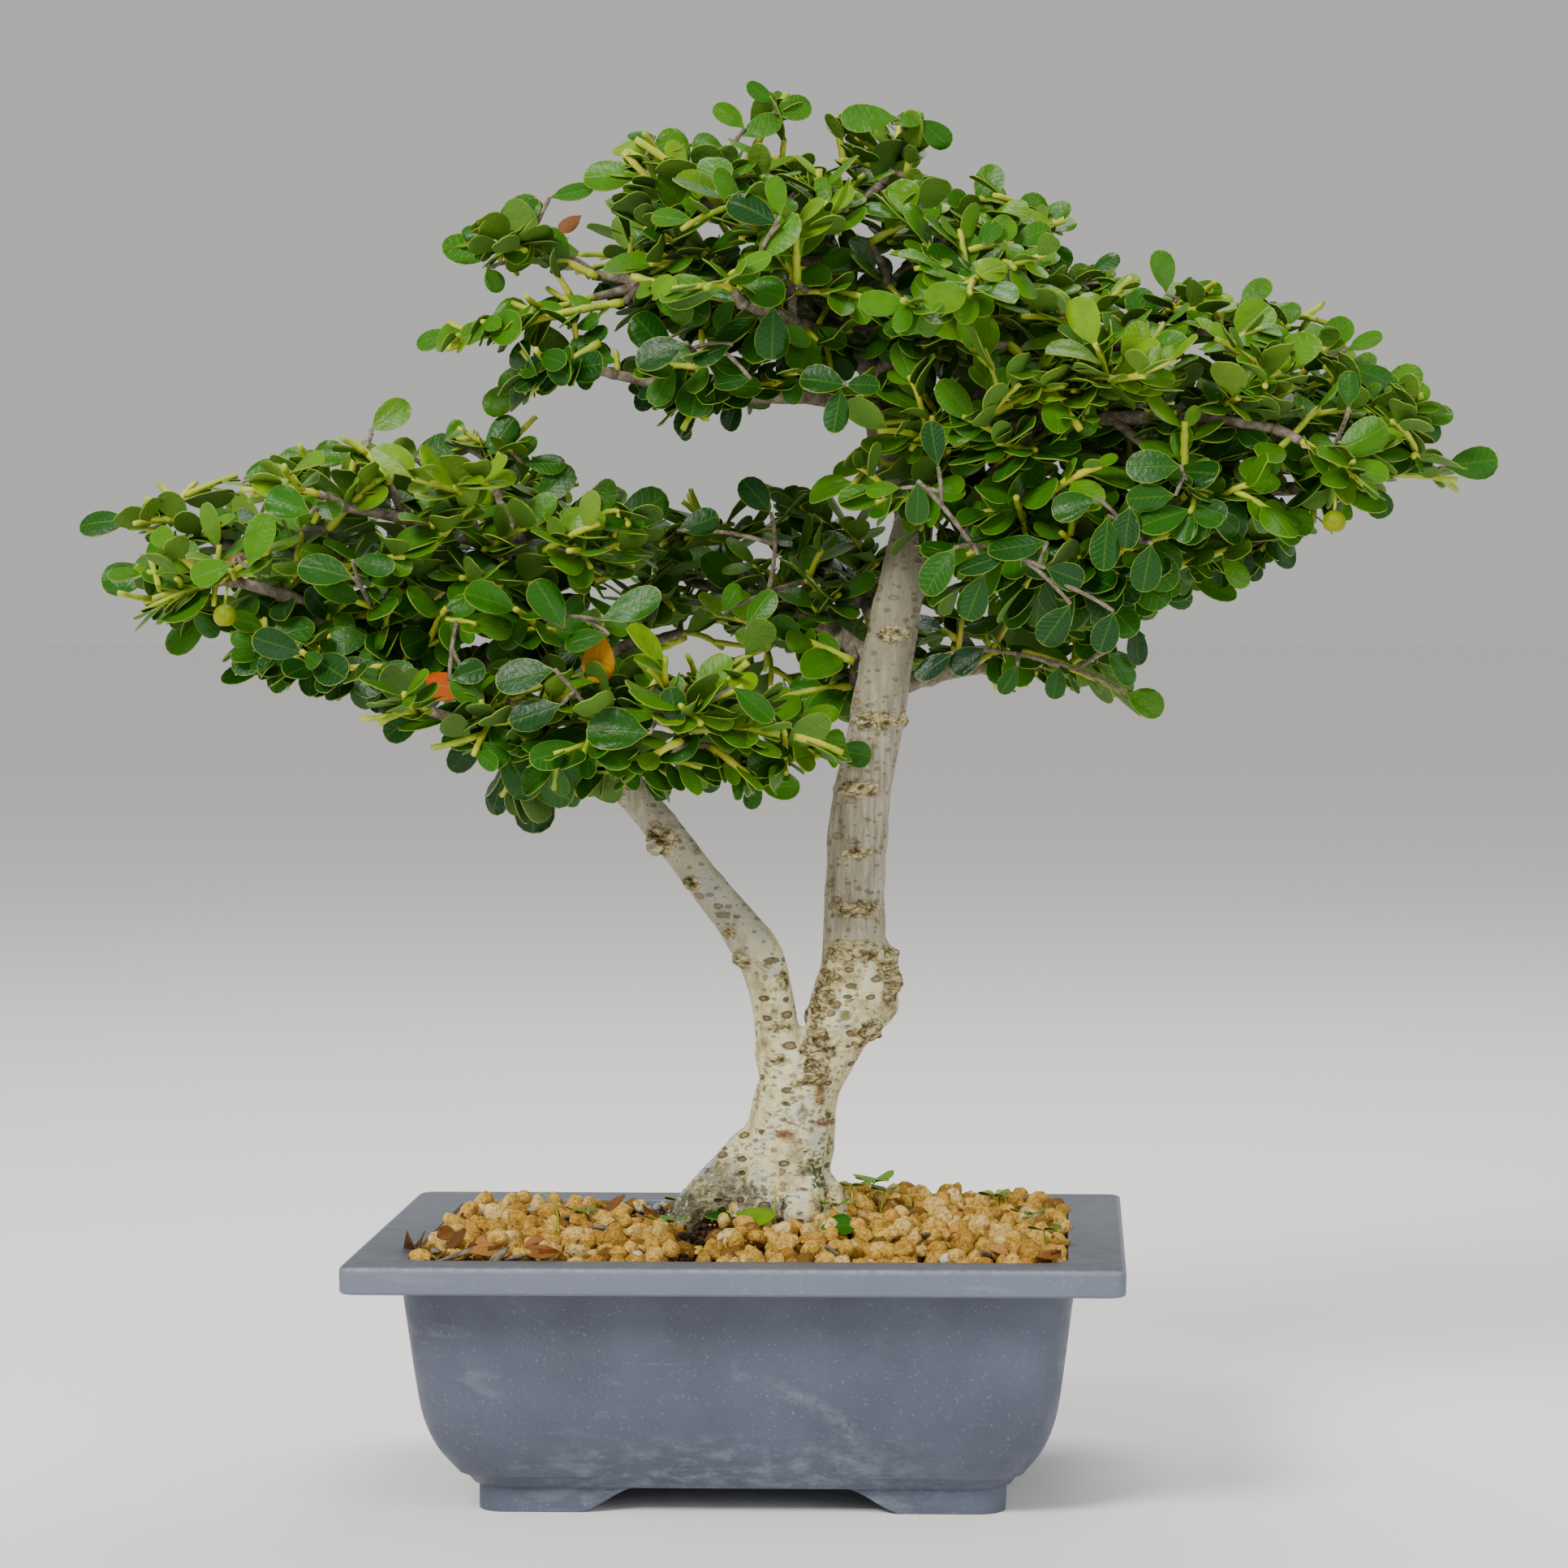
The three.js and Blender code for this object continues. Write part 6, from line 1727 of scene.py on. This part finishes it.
# How far leaves differ: fold, curl, cup, twist, width, and how much broader the outer half is
LEAF_RANGES = [(0.0, 0.45), (-0.05, 0.2), (-0.3, 0.25), (-0.35, 0.35), (0.78, 1.14), (0.02, 0.26)]
LEAF_FORMS = [
    leaf_template(*(between(*limits, draw(k, 41 + n)) for n, limits in enumerate(LEAF_RANGES)))
    for k in range(LEAF_KINDS)
]
CURLED_FORMS = [
    leaf_template(0.9, 0.45, 0.7, 0.6, 0.62, 0.05),
    leaf_template(-0.5, -0.4, 0.9, -0.7, 0.7, 0.1),
    leaf_template(1.1, 0.3, -0.6, 0.9, 0.55, 0.0),
]


def leaf_copy(number, base, along, face, size, tone, forms=LEAF_FORMS):
    """A leaf with its base at a place, its length along one way and its face to another."""
    along = along.normalized()
    face = (face - along * face.dot(along)).normalized()
    turn = Matrix((along, face.cross(along), face)).transposed().to_4x4()
    matrix = Matrix.Translation(base) @ turn @ Matrix.Scale(LEAF_LENGTH * size, 4)
    return forms[number % len(forms)], matrix, max(0.0, min(1.0, tone))


class Pad:
    """A pad's outline, from which a leaf takes its hang, its facing and its colour."""

    def __init__(self, clouds):
        self.low = [min(m[k] - s[k] for m, s in clouds) for k in range(3)]
        self.high = [max(m[k] + s[k] for m, s in clouds) for k in range(3)]

    def share(self, spot):
        """Where a place is in the pad, from -1 to 1 along each axis."""
        shares = [(2 * spot[k] - self.low[k] - self.high[k]) for k in range(3)]
        return Vector(share / (self.high[k] - self.low[k]) for k, share in enumerate(shares))

    def hung(self, base, along, side, stray):
        """A leaf's direction and facing for its place in the pad: the upper ones look up,
        and the lower ones hang and look outwards."""
        share = self.share(base)
        height = smooth(-0.9, 0.5, share.z)
        outward = Vector((share.x, share.y, 0))
        if outward.length > 1:
            outward.normalize()
        face = UP * between(0.25, 0.8, height) + outward * between(1.0, 0.55, height)
        return along + UP * between(-0.55, 0.12, height), face + side * (stray - 0.5) * 1.1

    def fresh(self, base, tone, share, stray):
        """How young a leaf looks, from 0 to 1."""
        place = self.share(base)
        outer = 0.14 * (min(1.0, math.hypot(place.x, place.y)) - 0.6)
        return tone + 0.2 * place.z + outer + 0.2 * (share - 0.6) + 0.3 * (stray - 0.5)


def shoot_leaves(pad, arc, start, tone, size, number, shoot, cut=0.0):
    """The leaves along a shoot from its tip down: one at each bud, some with a tuft of
    smaller ones."""
    length = arc_length(arc)
    found = []
    bare = between(1.5, 5.5, draw(number, shoot, 71)) + cut
    for k in range(max(2, int(length * (1 - start) / LEAF_PITCH))):
        share = 1 - (bare + k * LEAF_PITCH) / length
        if share < start:
            break
        way = arc_way(arc, share)
        side = side_way(way)
        turn = k * LEAF_SPIRAL + draw(number, shoot, k) * 1.2
        base = arc_point(arc, share)
        for tuft in range(1 + int(draw(number, shoot, k, 4) * LARGEST_TUFT)):
            angle = turn + tuft * TUFT_TURN
            along = way * 0.6 + side * math.cos(angle) * 0.85
            along += UP * (math.sin(angle) * 0.5 + 0.08)
            along, face = pad.hung(base, along, side, draw(number, shoot, k, 5 + tuft))
            grown = between(*LEAF_SIZES, draw(number, shoot, k, 7 + tuft)) * size
            grown *= TUFT_LEAF if tuft else 1
            fresh = pad.fresh(base, tone, share, draw(number, shoot, k, 9 + tuft))
            seed = int(draw(number, shoot, k, tuft) * 997)
            found.append((seed, base, along, face, grown, fresh))
    return found


def spur_leaves(pad, line, number, tone):
    """Rosettes of a few leaves on short spurs along a limb."""
    found = []
    length = sum((Vector(b[:3]) - Vector(a[:3])).length for a, b in zip(line, line[1:]))
    count = int(length / SPUR_PITCH)
    for k in range(count):
        share = between(0.3, 1, (k + draw(number, k, 51)) / count)
        spot, ahead = on_line(line, share), on_line(line, share + 0.02)
        way = (Vector(ahead[:3]) - Vector(spot[:3])).normalized()
        side = side_way(way)
        lean = between(-1.3, 1.3, draw(number, k, 52))
        out = side * math.sin(lean) + UP * math.cos(lean)
        if draw(number, k, 59) < 0.3:
            out = -out * 0.7 + side * 0.5
        base = Vector(spot[:3]) + out * (spot.w + between(0, 3, draw(number, k, 53)))
        for leaf in range(2 + int(draw(number, k, 54) * 3)):
            angle = leaf * LEAF_SPIRAL + draw(number, k, leaf, 55) * 1.5
            along = out * 0.45 + way * math.cos(angle) * 0.85 + side * math.sin(angle) * 0.85
            along, face = pad.hung(base, along, side, draw(number, k, leaf, 60))
            grown = between(*SPUR_LEAF_SIZES, draw(number, k, leaf, 56))
            fresh = pad.fresh(base, tone, 0.4, draw(number, k, leaf, 57))
            seed = int(draw(number, k, leaf, 58) * 997)
            found.append((seed, base, along, face, grown, fresh))
    return found


def limbs_of(pad):
    """The limbs that carry a pad, each (its number, its line)."""
    for number, (limb, line) in enumerate(LIMBS.items()):
        first = limb.split("_")[0]
        if pad == ("rear" if first == "back" or limb == "low_right_back" else first):
            yield number, line


def cloud_shoots(name, place, taken):
    """The shoots that fill a pad's clouds, from its limbs."""
    holds = []
    for _, line in limbs_of(name):
        holds += spots_on(line, LIMB_HOLDS)[LIMB_BARE:]
    for one in PAD_SPRAYS[name]:
        holds += [arc_point(main_arc(one), k / 5) for k in range(1, 5)]
    if name == "top":
        holds += spots_on(RIGHT_STEM, STEM_HOLDS)[STEM_BARE:]
    tips = []
    for number, cloud in enumerate(CLOUDS[name]):
        tips += cloud_tips(cloud, number + 10 * place, taken)
    return rooted(tips, holds), holds


def cut_shoots(name, holds):
    """Stout shoots with bare cut ends, and the twigs that carry them."""
    shoots, twigs = [], []
    for foot, tip in CUT_SHOOTS[name]:
        foot, tip = Vector(foot), Vector(tip)
        twigs += rooted([foot], holds)
        shoots.append((foot, (foot + tip) / 2 + UP * (tip - foot).length * 0.06, tip))
    return shoots, twigs


def picture_leaves(spots):
    """Leaves that are read from the picture, each given with its depth."""
    leaves = []
    for number, ((across, down, degrees, size, tone), depth) in enumerate(spots):
        angle = math.radians(degrees)
        way = Vector((math.cos(angle), 0, math.sin(angle)))
        base = from_picture(across, down, depth) - way * LEAF_LENGTH * size / 2
        lean = between(-0.4, 0.4, draw(number, 33))
        face = Vector((lean, -1, between(0.1, 0.7, draw(number, 34))))
        leaves.append((number * 3 + 1, base, way, face, size, tone))
    return leaves


def carriers(leaves, holds):
    """A short shoot to the base of each leaf."""
    shoots = []
    for _, base, *_ in leaves:
        root = min(holds, key=lambda hold: (base - hold).length)
        shoots += rooted([base], holds) or [(root, (root + base) / 2, base)]
    return shoots


TURNED = picture_leaves([(leaf, TURNED_DEPTH) for leaf in TURNED_LEAVES])


def make_turned_leaves():
    """Orange and yellow leaves in the left pad and brown ones at the edges."""
    copies = [leaf_copy(*leaf) for leaf in TURNED]
    piece("turned_leaves", scattered(copies), [TURNED_LEAF])
    copies = []
    for k, (foot, size, tone) in enumerate(BROWN_LEAVES):
        along = Vector((-0.7 - 0.3 * k, -0.1, -0.5))
        copies.append(leaf_copy(k * 5, Vector(foot), along, Vector((0.1, -1, 0.5)), size, tone))
    piece("brown_leaves", scattered(copies), [DEAD_LEAF])


def make_foliage():
    """The five pads, each as its leaves and its green shoots, and the twigs that carry them."""
    taken = [tip for one in SPRAYS.values() for tip in one["tips"]]
    twigs = []
    for place, (name, sprays) in enumerate(PAD_SPRAYS.items()):
        pad = Pad(CLOUDS[name])
        first = 100 * place
        leaves, green = [], []
        for number, one in enumerate(sprays):
            for shoot, (arc, start) in enumerate(shoots_of(one, number)):
                green.append(shoot_line(arc, start))
                tone, size = one["tone"], one["size"]
                leaves += shoot_leaves(pad, arc, start, tone, size, first + number, shoot)
        filling, holds = cloud_shoots(name, place, taken)
        stout, feet_twigs = cut_shoots(name, holds)
        twigs += [shoot_line(arc, 0, STOUT) for arc in feet_twigs]
        for number, arc in enumerate(stout):
            green.append(shoot_line(arc, 0, STOUT))
            leaves += shoot_leaves(pad, arc, 0.05, YOUNG, 0.95, first + number + 60, 51, CUT_END)
        spots = [(leaf, EDGE_DEPTH) for leaf in EDGE_LEAVES[name]]
        spots += [(leaf, FRONT_DEPTHS[name]) for leaf in FRONT_LEAVES[name]]
        singles = picture_leaves(spots)
        on_stalks = singles + (TURNED if name == "left" else [])
        twigs += [shoot_line(arc, 0, SLIM) for arc in carriers(on_stalks, holds)]
        for number, arc in enumerate(filling):
            start = max(0.08, 1 - LEAFY_RUN / arc_length(arc))
            green.append(shoot_line(arc, start))
            if start > 0.1:
                inner = (arc[0], arc_point(arc, start / 2), arc_point(arc, start + 0.02))
                twigs.append(shoot_line(inner, 0, CARRYING))
            leaves += shoot_leaves(pad, arc, start, FILLING_TONE, 1, first + number, 50)
        for number, line in limbs_of(name):
            leaves += spur_leaves(pad, line, number, MATURE)
        leaves = [leaf for leaf in leaves if leaf_shows_well(leaf)] + singles
        shape = scattered([leaf_copy(*leaf) for leaf in leaves])
        nodes = [node for node in SPRAYS if node.startswith(name)]
        piece(f"{name}_leaves", shape, [LEAF], nodes)
        shape = rods(green)
        for face in shape.faces:
            face.material_index = 0 if face.smooth else 1
        piece(f"{name}_shoots", shape, [GREEN_TWIG, CUT_WOOD], nodes)
    piece("fine_twigs", rods(twigs), [TWIG_BARK])


# Berries

def make_berries():
    """Unripe berries, each with a dimple below and on a stalk of its own."""
    for name, (across, down, depth, carrier, share) in BERRIES.items():
        middle = from_picture(across, down, depth)
        top = middle + UP * BERRY_RADIUS * 0.9
        knot = arc_point(main_arc(SPRAYS[carrier]), share)
        stalk = (knot, (top + knot) / 2 + UP * 3, top)
        stem = rods([[(*arc_point(stalk, k / 6), BERRY_STALK_RADIUS) for k in range(7)]])
        piece(f"{name}_stalk", stem, [GREEN_TWIG])
        shape = bmesh.new()
        bmesh.ops.create_uvsphere(shape, u_segments=24, v_segments=16, radius=BERRY_RADIUS)
        for corner in shape.verts:
            if corner.co.z < 0:
                corner.co.z += math.exp(-((corner.co.xy.length / 1.1) ** 2)) * 0.9
        bmesh.ops.translate(shape, verts=shape.verts, vec=middle)
        piece(name, smoothed(shape), [BERRY])


# Stage, in metres

FLOOR_RADIUS = 30
TREE_MIDDLE = Vector((0, 0, 0.25))


def make_stage():
    """A wide pale floor under the pot's feet."""
    shape = bmesh.new()
    bmesh.ops.create_circle(shape, cap_ends=True, radius=FLOOR_RADIUS, segments=96)
    bmesh.ops.translate(shape, verts=shape.verts, vec=(0, 0, POT_LOW.z))
    finish = Finish("floor_paint", roughness=0.9, specular=0.2)
    finish.colour = paint("fcfbf9")
    floor = placed("floor", as_mesh("floor", shape))
    floor.data.materials.append(finish.done())


def softbox(name, place, size, power, tint):
    """A square lamp that is turned towards the tree's middle."""
    lamp = bpy.data.lights.new(name, "AREA")
    lamp.size = size
    lamp.energy = power
    lamp.color = tint
    made = placed(name, lamp)
    made.location = place
    made.rotation_euler = (TREE_MIDDLE - Vector(place)).to_track_quat("-Z", "Y").to_euler()


def make_lights():
    """Soft light from the front left, weaker from the right and from above."""
    world = bpy.data.worlds.new("studio")
    world.use_nodes = True
    scene.world = world
    air = world.node_tree.nodes["Background"]
    air.inputs["Color"].default_value = paint("efeeec")
    air.inputs["Strength"].default_value = 0.6
    softbox("key_light", (-1.1, -1.7, 1.7), 0.8, 70, (1.0, 0.98, 0.94))
    softbox("fill_light", (1.8, -1.5, 1.0), 1.4, 22, (0.94, 0.97, 1.0))
    softbox("top_light", (0.2, 0.7, 2.0), 1.0, 23, (1.0, 1.0, 1.0))


# Camera: the photograph's angle. Its place is in millimetres from the pot's middle, and
# the focal length is in pixels of a square frame.
EYE = Vector((102.3, -1431.3, 284.2))
TURN = 1.645
PITCH = 1.126
FOCAL_PIXELS = 5482
FRAME_PIXELS = 1932
SENSOR_WIDTH = 36
SHIFT = (-0.10, -0.06)


def make_camera():
    """The eye that took the photograph."""
    camera = bpy.data.cameras.new("camera")
    camera.sensor_width = SENSOR_WIDTH
    camera.lens = FOCAL_PIXELS / FRAME_PIXELS * SENSOR_WIDTH
    camera.shift_x, camera.shift_y = SHIFT
    camera.clip_start = 0.05
    camera.clip_end = 100
    made = placed("camera", camera)
    made.location = TO_FRAME @ EYE
    made.rotation_euler = (math.radians(90 - PITCH), 0, math.radians(TURN))
    scene.camera = made


make_camera()
make_stage()
make_lights()
make_pot()
make_bed()
make_granules()
make_trunk()
make_limbs()
make_foliage()
make_turned_leaves()
make_berries()
make_litter()
make_weeds()
